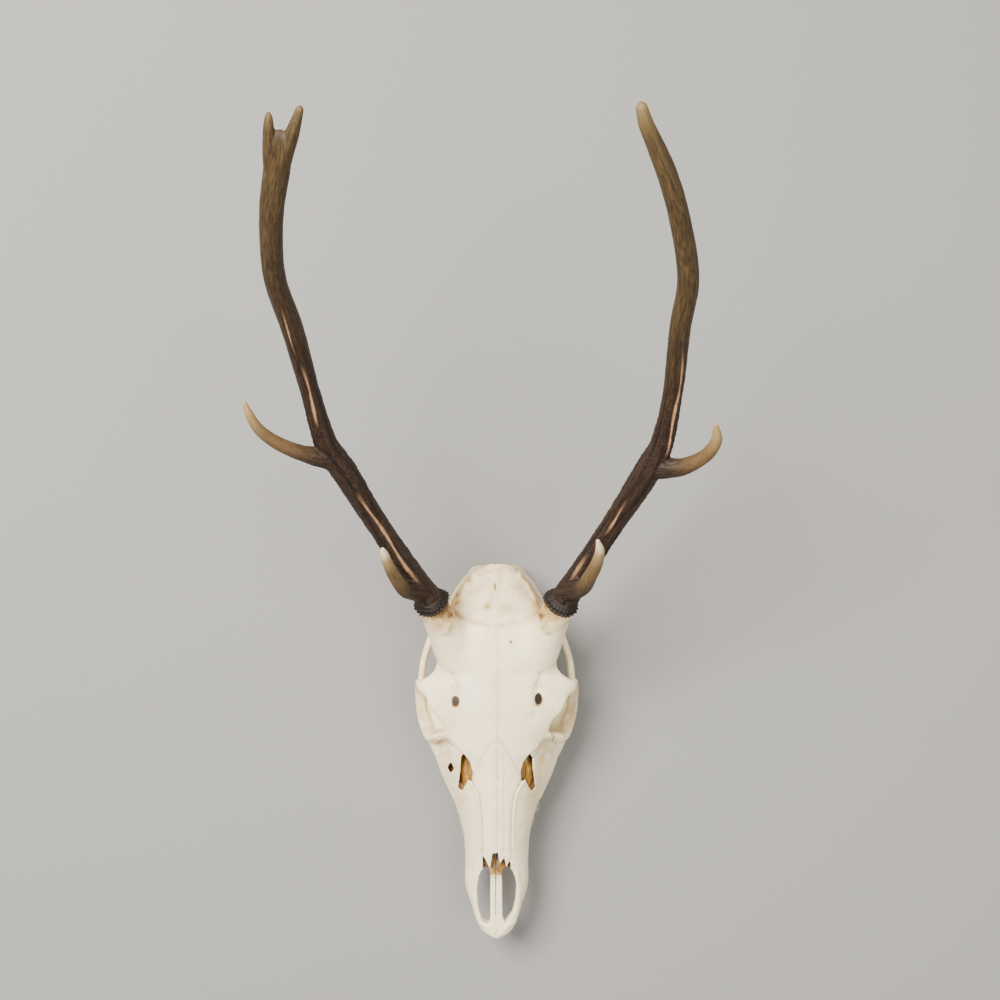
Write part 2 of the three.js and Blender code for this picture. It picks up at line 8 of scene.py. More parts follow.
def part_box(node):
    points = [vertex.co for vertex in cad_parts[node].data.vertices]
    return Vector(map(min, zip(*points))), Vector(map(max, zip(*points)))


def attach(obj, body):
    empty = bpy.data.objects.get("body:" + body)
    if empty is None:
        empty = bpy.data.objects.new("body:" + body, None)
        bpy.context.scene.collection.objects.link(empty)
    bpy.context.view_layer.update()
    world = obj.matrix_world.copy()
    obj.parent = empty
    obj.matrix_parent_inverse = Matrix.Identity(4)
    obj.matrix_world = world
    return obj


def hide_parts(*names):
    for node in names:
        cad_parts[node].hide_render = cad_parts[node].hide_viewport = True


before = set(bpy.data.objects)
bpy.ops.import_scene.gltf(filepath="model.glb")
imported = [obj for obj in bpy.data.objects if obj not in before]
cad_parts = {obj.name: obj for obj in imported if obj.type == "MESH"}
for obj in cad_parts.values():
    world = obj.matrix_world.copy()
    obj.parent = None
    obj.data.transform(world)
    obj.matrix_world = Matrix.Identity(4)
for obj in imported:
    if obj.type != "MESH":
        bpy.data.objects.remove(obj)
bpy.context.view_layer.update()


# The skull's own measure. An anatomist measures a deer's skull in millimetres from the tip of
# the snout, and this file does so too, with heights from the floor. The thin blade of bone in
# the nose is a solid whose lowest corner has known measures, so it tells where the snout lies.
BLADE_CORNER = (-1.1, 78, 31.5)
snout_tip = np.array(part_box("vomer")[0]) - np.array(BLADE_CORNER) / 1000


def in_frame(points_mm):
    return snout_tip + np.asarray(points_mm, float) / 1000


def in_skull(points_m):
    return (np.asarray(points_m, float) - snout_tip) * 1000


# The camera looks straight down on the skull from 1.25 m above the floor, as in the photo, and
# takes in three quarters of a metre at the height of the forehead.
CAMERA_PLACE = (2.6, 345, 1250)
VIEW_WIDTH = 750
FOREHEAD_HEIGHT = 100
SENSOR = 36

camera_data = bpy.data.cameras.new("camera")
camera_data.sensor_width = SENSOR
camera_data.lens = SENSOR * (CAMERA_PLACE[2] - FOREHEAD_HEIGHT) / VIEW_WIDTH
camera = bpy.data.objects.new("camera", camera_data)
camera.location = Vector(in_frame(CAMERA_PLACE))
bpy.context.collection.objects.link(camera)
bpy.context.scene.camera = camera


# The floor is a plain pale sheet. Soft boxes light the skull as an overcast day does: a strong
# one high at the upper left, a weaker one from the right, and a dim even sky.
def colour(hex_code):
    values = [int(hex_code[i:i + 2], 16) / 255 for i in (1, 3, 5)]
    linear = [v / 12.92 if v <= 0.04045 else ((v + 0.055) / 1.055) ** 2.4 for v in values]
    return (*linear, 1)


def add_node(tree, kind, links=None, **settings):
    node = tree.nodes.new(kind)
    for name, value in settings.items():
        setattr(node, name, value)
    for socket, value in (links or {}).items():
        if isinstance(value, bpy.types.NodeSocket):
            tree.links.new(value, node.inputs[socket])
        else:
            node.inputs[socket].default_value = value
    return node


def new_material(name):
    material = bpy.data.materials.new(name)
    material.use_nodes = True
    tree = material.node_tree
    return material, tree, tree.nodes["Principled BSDF"]


bpy.ops.object.select_all(action="DESELECT")
bpy.ops.mesh.primitive_plane_add(size=6, location=(0, 0, 0))
floor = bpy.context.object
floor.name = "floor"
floor_paint, floor_tree, floor_shader = new_material("matt pale paint")
floor_shader.inputs["Base Color"].default_value = colour("#8B8A88")
floor_shader.inputs["Roughness"].default_value = 0.9
floor.data.materials.append(floor_paint)

DAYLIGHT = "#FFFAF2"
SOFT_BOXES = [
    ("window", (-0.85, 0.75, 1.9), 1.1, 138),
    ("fill", (0.9, -0.3, 1.8), 1.2, 24),
]
for name, place, size, power in SOFT_BOXES:
    light_data = bpy.data.lights.new(name, "AREA")
    light_data.size = size
    light_data.energy = power
    light_data.color = colour(DAYLIGHT)[:3]
    light = bpy.data.objects.new(name, light_data)
    light.location = place
    light.rotation_euler = (-Vector(place)).to_track_quat("-Z", "Y").to_euler()
    bpy.context.collection.objects.link(light)
sky = bpy.data.worlds.new("sky")
sky.use_nodes = True
sky.node_tree.nodes["Background"].inputs["Color"].default_value = colour("#F8F8F8")
sky.node_tree.nodes["Background"].inputs["Strength"].default_value = 0.56
bpy.context.scene.world = sky


# The skull's rough block. It is shaped from the face's tapering box, the forehead's plate over
# the eyes, the braincase, the two antler stalks, the cheek rings and the knobs of the neck joint,
# which flow into one another as living bone does.
FACE_END = 165
SKULL_END = 294
FACE_ROWS = [
    (0, 3, 41, 39.5, 38, 2.1),
    (3, 9.5, 44, 39, 35, 2.1),
    (9, 14.2, 46, 38, 33, 2.1),
    (26, 20.1, 52.4, 37, 31, 2.1),
    (45, 25.2, 55.4, 36, 29, 2.1),
    (60, 24.9, 59.5, 35, 27, 2.1),
    (73, 25.4, 64, 34, 25, 2.1),
    (94, 29.3, 69, 32, 22, 2),
    (110, 35, 73, 32, 19.5, 1.8),
    (132, 44.5, 78, 38, 16, 1.55),
    (150, 49, 82, 42, 14, 1.5),
    (FACE_END, 50, 85, 44, 13, 1.55),
]
ROOF_ROWS = [
    (136, 14, 76, 70),
    (150, 30, 82.3, 74),
    (160, 37, 84.5, 74),
    (167, 41, 86, 74),
    (175.5, 45, 87.5, 77),
    (186, 51.5, 89.5, 78),
    (196, 57, 90.5, 76),
    (200, 62, 91, 72),
    (203, 62.8, 91.5, 70),
    (208, 57, 92, 71),
    (214, 50, 92.5, 73),
    (222, 46, 93, 76),
    (232, 45, 93.5, 78),
    (245, 44, 93, 79),
    (258, 38, 87, 77),
    (268, 32, 80.5, 71),
    (276, 24, 74.5, 66),
]
ROOF_THICKNESS = 5
BRAINCASE_ROWS = [
    (157, 26, 82, 55, 33),
    (170, 23, 84, 55, 31),
    (185, 21, 86, 55, 33),
    (200, 22, 87, 52, 32),
    (215, 29, 88, 50, 28),
    (230, 34.5, 88.5, 48, 24),
    (245, 37.5, 88, 46, 21),
    (260, 38.5, 84, 44, 19),
    (269, 36, 79, 43, 17),
    (277, 31.5, 74, 42, 16),
    (284, 26, 69.5, 41, 17),
    (290, 19, 65, 41, 22),
    (SKULL_END, 9, 60, 43, 30),
]
PEDICLE_ROWS = [
    (28, 221, 71, 16.5),
    (34, 235, 80, 15.4),
    (40.5, 250, 92.5, 13),
    (45, 261, 102.5, 11.8),
    (47.5, 267, 108, 11.6),
]
ORBIT_RING_ROWS = [
    (38, 165, 70, 3.4, 4),
    (45, 161.5, 61, 4.6, 4.4),
    (51, 160, 50, 5, 4.5),
    (56.5, 167, 42, 4, 4.2),
    (60, 178, 38, 3.4, 4),
    (61.2, 189, 37.5, 3.2, 4),
    (61.4, 197, 42, 3.2, 4.6),
    (61.2, 200, 51, 2.8, 5.4),
    (60.4, 200.5, 61, 2.8, 6.4),
    (57, 201, 69, 3, 8),
    (50, 200, 74, 2.6, 9),
]
ORBIT_FLOOR_ROWS = [
    (46, 160, 42, 8, 2.5),
    (48, 168, 36.5, 11, 1.9),
    (49, 178, 33.5, 13, 1.8),
    (50, 188, 33.5, 13, 1.8),
    (52, 197, 35.5, 10.5, 1.9),
    (55, 203, 41, 7, 2.2),
]
CHEEK_BAR_ROWS = [
    (44, 146, 38, 6, 7),
    (52, 162, 37, 5, 8),
    (58.4, 180, 33.5, 3.2, 6),
    (59.6, 196, 35.5, 3, 5.4),
    (58.8, 208, 40, 3, 5),
    (56.8, 221, 44, 2.8, 5),
    (51.8, 236, 46, 3, 5),
    (45, 250, 45, 4, 5.4),
    (36, 260, 43, 6, 7),
]
JAW_JOINT_ROWS = [
    (26, 246, 42, 14, 5),
    (38, 242, 42, 13, 4.5),
    (47, 240, 44, 10, 4),
    (52, 237, 46, 6, 4),
]
NECK_PROCESS_ROWS = [(27, 268, 34, 6, 5), (26, 271, 16, 4, 3.6), (24.5, 272, 2.6, 2.2, 2.6)]
BULLA_SIZES = (8.5, 12.5, 10.5)
CONDYLE_SIZES = (10, 9.6, 14)
BLADE_HALF_THICKNESS = 1.4
WING_BLADE = [(172, 36), (173, 24), (178, 15), (184, 13), (192, 17), (204, 26), (212, 34)]


def slopes_at_rows(at, values):
    rise = np.diff(values, axis=0) / np.diff(at)[:, None]
    before, after = rise[:-1], rise[1:]
    product = before * after
    total = np.where(np.abs(before + after) < 1e-12, 1, before + after)
    inner = np.where(product <= 0, 0, 2 * product / total)
    return np.vstack([rise[:1], inner, rise[-1:]])


def read_rows(rows, at):
    """The table's values at any measure, smooth and never past a row's own values."""
    table = np.array(rows, float)
    knots = table[:, 0]
    slopes = slopes_at_rows(knots, table)
    i = np.clip(np.searchsorted(knots, at, side="right") - 1, 0, len(knots) - 2)
    step = (knots[i + 1] - knots[i])[:, None]
    t = np.clip((at - knots[i])[:, None] / step, 0, 1)
    ease = t * t * (3 - 2 * t)
    near = slopes[i] * step * t * (1 - t) ** 2
    far = slopes[i + 1] * step * t * t * (t - 1)
    return (table[i] + (table[i + 1] - table[i]) * ease + near + far).T


def smooth_line(points, share):
    """Places and directions along a smooth line through the points."""
    points = np.array(points, float)
    whole = np.vstack([2 * points[0] - points[1], points, 2 * points[-1] - points[-2]])
    spans = np.sqrt(np.linalg.norm(np.diff(whole, axis=0), axis=1))
    last = len(points) - 1
    at = np.clip(share, 0, 1) * last
    i = np.minimum(at.astype(int), last - 1)
    t = (at - i)[:, None]
    p0, p1, p2, p3 = whole[i], whole[i + 1], whole[i + 2], whole[i + 3]
    d0, d1, d2 = spans[i][:, None], spans[i + 1][:, None], spans[i + 2][:, None]
    m1 = ((p1 - p0) / d0 - (p2 - p0) / (d0 + d1) + (p2 - p1) / d1) * d1
    m2 = ((p2 - p1) / d1 - (p3 - p1) / (d1 + d2) + (p3 - p2) / d2) * d1
    place = ((2 * t**3 - 3 * t**2 + 1) * p1 + (t**3 - 2 * t**2 + t) * m1
             + (3 * t**2 - 2 * t**3) * p2 + (t**3 - t**2) * m2)
    along = ((6 * t**2 - 6 * t) * p1 + (3 * t**2 - 4 * t + 1) * m1
             + (6 * t - 6 * t**2) * p2 + (3 * t**2 - 2 * t) * m2)
    return place, along / np.linalg.norm(along, axis=1)[:, None]


def signed_power(values, exponent):
    return np.sign(values) * np.abs(values) ** exponent


def oval(y, half_width, top, widest, bottom, upper, lower, turn):
    """Points of a squared or peaked oval ring, 0 turn being its top."""
    across, up = np.sin(turn), np.cos(turn)
    shape = np.where(up > 0, upper, lower)
    rise = np.where(up > 0, top - widest, widest - bottom)
    x = half_width * signed_power(across, 2 / shape)
    return np.column_stack([x, y, widest + rise * signed_power(up, 2 / shape)])


def closed_skin(name, around, along, shape):
    """A closed skin: a flat grid rolled up and placed by its share along and turn around."""
    bpy.ops.object.select_all(action="DESELECT")
    bpy.ops.mesh.primitive_grid_add(x_subdivisions=around, y_subdivisions=along, size=1)
    skin = bpy.context.object
    skin.name = name
    flat = np.empty(len(skin.data.vertices) * 3)
    skin.data.vertices.foreach_get("co", flat)
    places = in_frame(shape(flat[1::3] + 0.5, (flat[0::3] + 0.5) * math.tau))
    skin.data.vertices.foreach_set("co", places.ravel())
    bpy.ops.object.mode_set(mode="EDIT")
    bpy.ops.mesh.select_all(action="SELECT")
    bpy.ops.mesh.remove_doubles(threshold=1e-6)
    bpy.ops.mesh.fill_holes(sides=0)
    bpy.ops.mesh.select_all(action="SELECT")
    bpy.ops.mesh.normals_make_consistent(inside=False)
    bpy.ops.object.mode_set(mode="OBJECT")
    return skin


def limb(name, rows, around=32, along=48, side=(1, 0, 0)):
    """A bent limb through rows of x, y, z and half thickness sideways and the other way."""
    rows = [(*row, row[3])[:5] for row in rows]
    last = len(rows) - 1
    sizes = [(i / last, row[3], row[4]) for i, row in enumerate(rows)]

    def shape(share, turn):
        place, forward = smooth_line([row[:3] for row in rows], share)
        reach = np.array(side, float)
        across = reach - forward * (forward @ reach)[:, None]
        across /= np.linalg.norm(across, axis=1)[:, None]
        up = np.cross(across, forward)
        _, wide, deep = read_rows(sizes, share)
        return (place + across * (wide * np.sin(turn))[:, None]
                + up * (deep * np.cos(turn))[:, None])

    return closed_skin(name, around, along, shape)


def ball(name, centre, sizes):
    bpy.ops.object.select_all(action="DESELECT")
    bpy.ops.mesh.primitive_uv_sphere_add(segments=48, ring_count=32, radius=0.001)
    piece = bpy.context.object
    piece.name = name
    piece.scale = sizes
    piece.location = Vector(in_frame(centre))
    bpy.ops.object.transform_apply(location=True, rotation=True, scale=True)
    return piece


def plate(name, outline, axis, start, end):
    """A flat outline pushed along an axis: z takes x, y points and x takes y, z points."""
    bpy.ops.object.select_all(action="DESELECT")
    bpy.ops.mesh.primitive_circle_add(vertices=len(outline), radius=1, fill_type="NGON")
    piece = bpy.context.object
    piece.name = name
    for vertex, (a, b) in zip(piece.data.vertices, outline):
        vertex.co = Vector(in_frame((a, b, start) if axis == "z" else (start, a, b)))
    push = (end - start) / 1000
    move = (0, 0, push) if axis == "z" else (push, 0, 0)
    bpy.ops.object.mode_set(mode="EDIT")
    bpy.ops.mesh.select_all(action="SELECT")
    bpy.ops.mesh.extrude_region_move(TRANSFORM_OT_translate={"value": move})
    bpy.ops.mesh.select_all(action="SELECT")
    bpy.ops.mesh.normals_make_consistent(inside=False)
    bpy.ops.object.mode_set(mode="OBJECT")
    return piece


def mirrored(points):
    return [(-x, *rest) for x, *rest in points]


def both_sides(name, rows, make):
    return [make(f"{name}_right", rows), make(f"{name}_left", mirrored(rows))]


def activate(piece):
    bpy.ops.object.select_all(action="DESELECT")
    piece.select_set(True)
    bpy.context.view_layer.objects.active = piece


def merge_pieces(name, pieces):
    """Overlapping pieces' mesh data joined into one object, kept in the first of them."""
    activate(pieces[0])
    for piece in pieces[1:]:
        piece.select_set(True)
    bpy.ops.object.join()
    pieces[0].name = name
    return pieces[0]


def renew_skin(piece, grain, softening):
    """Draws the skin anew in even faces, which fuses what overlaps, and softens its edges."""
    activate(piece)
    piece.data.remesh_voxel_size = grain / 1000
    piece.data.remesh_voxel_adaptivity = 0
    bpy.ops.object.voxel_remesh()
    soften = piece.modifiers.new("soften", "SMOOTH")
    soften.factor = 0.5
    soften.iterations = softening
    bpy.ops.object.modifier_apply(modifier=soften.name)


def cut(piece, cutter, operation="DIFFERENCE"):
    activate(piece)
    boolean = piece.modifiers.new("cut", "BOOLEAN")
    boolean.operation = operation
    boolean.solver = "MANIFOLD"
    boolean.object = cutter
    bpy.ops.object.modifier_apply(modifier=boolean.name)
    bpy.data.objects.remove(cutter)


def dress(piece, material):
    piece.data.materials.clear()
    piece.data.materials.append(material)
    activate(piece)


def copy_of(piece, name):
    twin = piece.copy()
    twin.data = piece.data.copy()
    twin.name = name
    bpy.context.collection.objects.link(twin)
    return twin


def vertex_places(piece):
    flat = np.empty(len(piece.data.vertices) * 3)
    piece.data.vertices.foreach_get("co", flat)
    return in_skull(flat.reshape(-1, 3))


def vertex_normals(piece):
    flat = np.empty(len(piece.data.vertices) * 3)
    piece.data.vertex_normals.foreach_get("vector", flat)
    return flat.reshape(-1, 3)


def set_places(piece, places):
    piece.data.vertices.foreach_set("co", in_frame(places).ravel())
    piece.data.update()


def set_values(piece, name, values):
    kind, field = ("FLOAT", "value") if values.ndim == 1 else ("FLOAT_VECTOR", "vector")
    layer = piece.data.attributes.new(name, kind, "POINT")
    layer.data.foreach_set(field, np.ascontiguousarray(values, dtype=np.float32).ravel())


def soft_step(low, high, values):
    t = np.clip((values - low) / (high - low), 0, 1)
    return t * t * (3 - 2 * t)


def soften_near(piece, centres, reach, rounds):
    """Lets the parts flow into one another around given places, as bone grows where they meet."""
    places = vertex_places(piece)
    gap = np.min([np.linalg.norm(places - centre, axis=1) for centre in centres], axis=0)
    share = 1 - soft_step(0.5 * reach, reach, gap)
    group = piece.vertex_groups.new(name="flowing")
    for level in range(1, 11):
        chosen = np.nonzero(np.round(share * 10) == level)[0]
        group.add(chosen.tolist(), level / 10, "REPLACE")
    activate(piece)
    soften = piece.modifiers.new("soften", "SMOOTH")
    soften.factor = 0.5
    soften.iterations = rounds
    soften.vertex_group = group.name
    bpy.ops.object.modifier_apply(modifier=soften.name)
    piece.vertex_groups.clear()


def face_shape(share, turn):
    y = FACE_END * share ** 1.1
    _, half_width, top, widest, bottom, upper = read_rows(FACE_ROWS, y)
    return oval(y, half_width, top, widest, bottom, upper, 3, turn)


def roof_shape(share, turn):
    y = ROOF_ROWS[0][0] + (ROOF_ROWS[-1][0] - ROOF_ROWS[0][0]) * share
    _, half_width, top, edge = read_rows(ROOF_ROWS, y)
    up = np.cos(turn)
    z = edge + (top - edge) * up**2 + ROOF_THICKNESS / 2 * (signed_power(up, 0.5) - 1)
    return np.column_stack([half_width * np.sin(turn), y, z])


def braincase_shape(share, turn):
    y = BRAINCASE_ROWS[0][0] + (SKULL_END - BRAINCASE_ROWS[0][0]) * share
    _, half_width, top, widest, bottom = read_rows(BRAINCASE_ROWS, y)
    return oval(y, half_width, top, widest, bottom, 2.6, 2.4, turn)


def thin_limb(name, rows):
    return limb(name, rows, around=24, along=90)


block = [
    closed_skin("face", 144, 160, face_shape),
    closed_skin("roof", 144, 120, roof_shape),
    closed_skin("braincase", 144, 130, braincase_shape),
    *both_sides("pedicle", PEDICLE_ROWS, limb),
    *both_sides("orbit_ring", ORBIT_RING_ROWS, thin_limb),
    *both_sides("orbit_floor", ORBIT_FLOOR_ROWS, limb),
    *both_sides("cheek_bar", CHEEK_BAR_ROWS, thin_limb),
    *both_sides("jaw_joint", JAW_JOINT_ROWS, lambda name, rows: limb(name, rows, side=(0, 1, 0))),
    *both_sides("neck_process", NECK_PROCESS_ROWS, limb),
]
for side in (-1, 1):
    block.append(ball("bulla", (side * 20, 251, 18), BULLA_SIZES))
    block.append(ball("condyle", (side * 14, 283, 14), CONDYLE_SIZES))
    inner, outer = side * 13 - BLADE_HALF_THICKNESS, side * 13 + BLADE_HALF_THICKNESS
    block.append(plate("wing", WING_BLADE, "x", inner, outer))
skull = merge_pieces("skull", block)
renew_skin(skull, grain=1.2, softening=8)
FLOWING_PLACES = [
    (30, 230, 90), (36, 243, 92), (25, 250, 84), (24, 266, 76), (50, 206, 74), (12, 140, 78),
    (14, 168, 85), (42, 165, 74),
]
flowing = [(side * x, y, z) for x, y, z in FLOWING_PLACES for side in (-1, 1)]
soften_near(skull, flowing, reach=19, rounds=140)


# What is hollow: the nose, the two eye sockets, the arch of the palate and the hole that the
# spinal cord leaves by. Bone about two and a half millimetres thick is left around the nose.
BONE_THICKNESS = 2.4
CAVITY_ROWS = [
    (12, 9, 37),
    (26, 14, 35),
    (45, 19.5, 33),
    (60, 20.5, 31),
    (94, 25, 31),
    (110, 30.5, 31),
    (132, 39.5, 31),
    (150, 42, 32),
    (160, 35, 34),
]
ORBIT_CENTRE = (57, 183, 56)
ORBIT_SIZES = (20, 20.5, 18.5)
PALATE_ROWS = [
    (0, 64, 19, 8, 6),
    (0, 90, 16, 15, 8),
    (0, 120, 12.5, 19, 10),
    (0, 150, 9, 19.5, 12),
    (0, 178, 5, 19, 14),
]
NECK_HOLE_ROWS = [(0, 262, 27, 4, 4), (0, 275, 24, 9.5, 8.5), (0, 300, 23, 11, 10)]


def cavity_shape(share, turn):
    y = CAVITY_ROWS[0][0] + (CAVITY_ROWS[-1][0] - CAVITY_ROWS[0][0]) * share
    _, _, top, widest, _, upper = read_rows(FACE_ROWS, y)
    _, half_width, floor_height = read_rows(CAVITY_ROWS, y)
    return oval(y, half_width, top - BONE_THICKNESS, widest, floor_height, upper, 3, turn)


cut(skull, closed_skin("cavity", 96, 120, cavity_shape))
for side in (-1, 1):
    x, y, z = ORBIT_CENTRE
    cut(skull, ball("socket", (side * x, y, z), ORBIT_SIZES))
cut(skull, limb("palate", PALATE_ROWS))
cut(skull, limb("neck_hole", NECK_HOLE_ROWS))
renew_skin(skull, grain=0.9, softening=3)


# The openings: the broken front edge of the nasal bones, the gaps before the tear bones, the hole
# through the left cheek, the nerve holes over the eyes and the long holes in the floor of the
# nose, on both sides of two thin rods of bone.
NOSE_RIM = [(-10, 42), (10, 45), (26, 47), (45, 51.5), (60, 57), (66, 62), (66, 110), (-10, 110)]
NOSE_FLOOR_LEFT = [
    (-5, 14), (-7, 11.4), (-11.6, 14.4), (-15, 26), (-15.6, 40), (-14.4, 50), (-12, 56.6),
    (-7.4, 58), (-4.9, 54),
]
NOSE_FLOOR_RIGHT = [
    (4.3, 16), (6.4, 12.3), (12, 19.5), (14.8, 29), (15.6, 43), (14.4, 51), (12, 57),
    (7, 58), (3.9, 54),
]
CHEEK_GAP = [
    (19, 127.5), (18.3, 136), (20.5, 144), (25.3, 151), (27.4, 147), (28, 136), (30, 121.5),
    (27.2, 118.6), (24.3, 124), (21.9, 129.5),
]
CHEEK_HOLE = [(-38.4, 136.3), (-35.7, 131.4), (-33, 136.3), (-35.7, 141.2)]
BROW_HOLES = [(-31, 192, 2.7, 3.8), (31.8, 193.5, 2.7, 4.4)]
NASAL_FLANK = [
    (11, 69), (11.3, 100), (12.3, 112), (14, 119.5), (18.4, 127.2), (17.6, 134), (11, 148), (5, 158),
]
NASAL_LEFT = [
    (0.85, 72), (-3.3, 71.2), (-5.2, 58.3), (-8.8, 66), *mirrored(NASAL_FLANK), (0.85, 164),
]
NASAL_RIGHT = [
    (1, 72), (2.3, 62.6), (6, 67.7), (7.5, 58.7), (10.7, 66.5), *NASAL_FLANK, (1, 164),
]
NASAL_SEAM = 0.2
PRONG_NOTCHES = [(-10.9, 50), (10.9, 50), (10.9, 72.5), (-10.9, 72.5)]
LEFT_ROD_ROWS = [
    (-3.4, 9, 38.6, 2.6, 2.4), (-3, 24, 38, 1.9, 2.6), (-2.9, 44, 36.5, 1.8, 2.6),
    (-2.9, 60, 34.5, 1.8, 2.6), (-2.6, 74, 33, 1.7, 2.4),
]
RIGHT_ROD_ROWS = [
    (2.6, 9, 38.6, 2.8, 2.4), (2, 24, 38, 2.1, 2.6), (1.8, 44, 36.5, 2.1, 2.6),
    (1.7, 60, 34.5, 2.1, 2.6), (1.7, 74, 33, 1.8, 2.4),
]
ROD_GAP = [(-1.05, 19), (-0.45, 19), (-0.35, 70), (-1.15, 70)]


def grown(outline, by):
    """The outline moved outwards by a distance, corner by corner."""
    points = np.array(outline, float)
    before = points - np.roll(points, 1, axis=0)
    after = np.roll(points, -1, axis=0) - points
    before /= np.linalg.norm(before, axis=1)[:, None]
    after /= np.linalg.norm(after, axis=1)[:, None]
    turned = np.sum(before[:, 0] * after[:, 1] - before[:, 1] * after[:, 0])
    outward = 1 if turned > 0 else -1
    normal = np.column_stack([before[:, 1] + after[:, 1], -before[:, 0] - after[:, 0]]) * outward
    normal /= np.maximum(np.linalg.norm(normal, axis=1), 0.5)[:, None]
    return [tuple(point) for point in points + normal * by]


nose_front = plate("nose_front", NOSE_RIM, "x", -60, 60)
notches = plate("notches", PRONG_NOTCHES, "z", 50, 112)
for opening in (nose_front, notches):
    for outline in (NASAL_LEFT, NASAL_RIGHT):
        cut(opening, plate("spared_prongs", outline, "z", 49, 113))
    cut(skull, opening)
for side in (-1, 1):
    gap = [(side * x, y) for x, y in CHEEK_GAP]
    cut(skull, plate("gap", gap, "z", 52, 90))
cut(skull, plate("hole", CHEEK_HOLE, "z", 44, 90))
for x, y, wide, long in BROW_HOLES:
    cut(skull, ball("brow_hole", (x, y, 88), (wide, long, 30)))
for opening in (NOSE_FLOOR_LEFT, NOSE_FLOOR_RIGHT):
    cut(skull, plate("opening", opening, "z", 10, 60))
rods = [limb("rod", rows, around=24, along=60) for rows in (LEFT_ROD_ROWS, RIGHT_ROD_ROWS)]
skull = merge_pieces("skull", [skull, *rods])
renew_skin(skull, grain=0.8, softening=3)
cut(skull, plate("rod_gap", ROD_GAP, "z", 20, 60))


# The marks that muscles, nerves and joints left on the bone, in plan or in the round: ridges and
# swellings stand proud by a height in millimetres and grooves, pits and hollows are sunk by it.
# Each also holds a share of tan, mostly the stain that brushing didn't reach; on the steep cheeks the tan
# is painted shade.
MARKS = {
    "temple ridge": ("both", 1.9, 2.3, 0.08, [(17.5, 287), (24, 280), (29.5, 269), (34, 257), (38, 247)]),
    "temple hollow": ("both", 6, -4.6, 0.5, [(27, 288), (34.5, 276), (39.5, 263)]),
    "brow groove": ("both", 4.4, -1.3, 0.1, [(31, 198), (32, 205)]),
    "brow groove's end": ("both", 1.7, -0.9, 0.16, [(31.4, 199), (32.6, 206), (34, 213)]),
    "brow pits": ("both", 0.7, -0.9, 0.3, [(29.4, 202), (29.8, 204)]),
    "brow pit": ("both", 0.7, -0.8, 0.3, [(34.6, 201), (34.4, 203)]),
    "groove before the brow hole": ("both", 3, -0.7, 0.1, [(30.5, 187), (28.6, 180)]),
    "brow hole's rim": ("both", 4.2, -0.5, 0.2, [(31.4, 191), (31.4, 194)]),
    "tear bone's edge": ("both", 1.2, -0.9, 0.2, [(50, 158.5), (40, 157.5), (31, 153), (27, 150)]),
    "tear knob": ("both", 1.6, 1.4, 0.16, [(40.5, 164.5), (42.4, 161.6)]),
    "lower tear knob": ("both", 1.2, 1.2, 0.2, [(45.4, 158.6), (47, 156.4)]),
    "tear notch": ("both", 0.9, -1.4, 0.45, [(43.8, 160.6), (45, 161.6)]),
    "leaf edge": ("both", 1.2, 0.7, 0, [(21, 128), (16.2, 121), (13.8, 112), (12.8, 98), (12.4, 75)]),
    "nasal fold": ("right", 0.8, -0.6, 0.12, [(6.3, 72), (6.3, 150)]),
    "trough between the nasals": ("middle", 1.8, -0.6, 0.1, [(0.9, 74), (0.9, 160)]),
    "side seam of the nasals": (
        "both", 0.9, -0.7, 0.26, [(11.2, 73), (11.5, 100), (12.6, 112), (14.3, 119.5), (18.2, 126.6)]),
    "nasal root": ("both", 1, -0.35, 0.08, [(18, 133), (11, 148), (5, 158), (0, 164)]),
    "brow hollow": ("both", 8, -1.1, 0, [(15, 203), (17, 211)]),
    "forehead swelling": ("both", 12, 1, 0, [(22, 224), (20, 236)]),
    "midline ridge": ("middle", 3, 0.5, 0.1, [(0, 176), (0, 246)]),
    "crown ridge": ("middle", 3.4, 0.9, 0.04, [(0, 262), (0, 290)]),
    "crown joint": ("middle", 1.6, -0.6, 0.22, [(-34, 259), (-18, 253), (0, 250), (18, 253), (34, 259)]),
    "nape crest": ("middle", 2.2, 1.5, 0.14, [(-14, 292.6), (0, 294.5), (14, 292.6)]),
    "dark temple": ("left", 6, 0, 0.34, [(-28, 288), (-35, 276), (-40, 262)]),
    "crown pits": ("both", 2.2, -0.7, 0.36, [(6.4, 264), (6.4, 265.5)]),
    "crown slit": ("middle", 0.5, -1.8, 0.9, [(-1.1, 276.8), (-1.1, 280.6)]),
    "forehead pinhole": ("middle", 0.7, -1.6, 1, [(11, 237.4), (11, 237.8)]),
    "snout pits": ("middle", 0.5, -1.2, 0.7, [(-0.5, 3.5), (0.6, 6.6)]),
    "nose rim": ("both", 1.7, 0.8, 0, [(6.5, 8.6), (14, 12.6), (17.4, 26), (17.8, 42), (15.6, 54)]),
    "cheek ridge": ("both", 4, 1, 0.05, [(49, 152, 45), (42, 132, 42), (35, 112, 40)]),
    "nerve hole of the jaw": ("both", 1.8, -2, 0.5, [(30.5, 92, 47), (31, 95, 48)]),
    # Painted shade: tan on the steep, sideways-facing cheeks below the tear notch, not a stain.
    "painted shade on the steep cheeks": ("both", 8, 0, 0.26, [(43, 150), (38, 130), (33, 112)]),
    "tear hollow": ("both", 6, -1.6, 0.16, [(45, 150, 60), (41, 143, 61)]),
    "snout's tip": ("middle", 5, 1.4, 0.08, [(0, 0, 39.5), (0, 1, 41)]),
}


def wander(places, size):
    """Soft random swells about this many millimetres across, from -1 to 1."""
    return np.array([noise.noise(Vector(place)) for place in places / size])


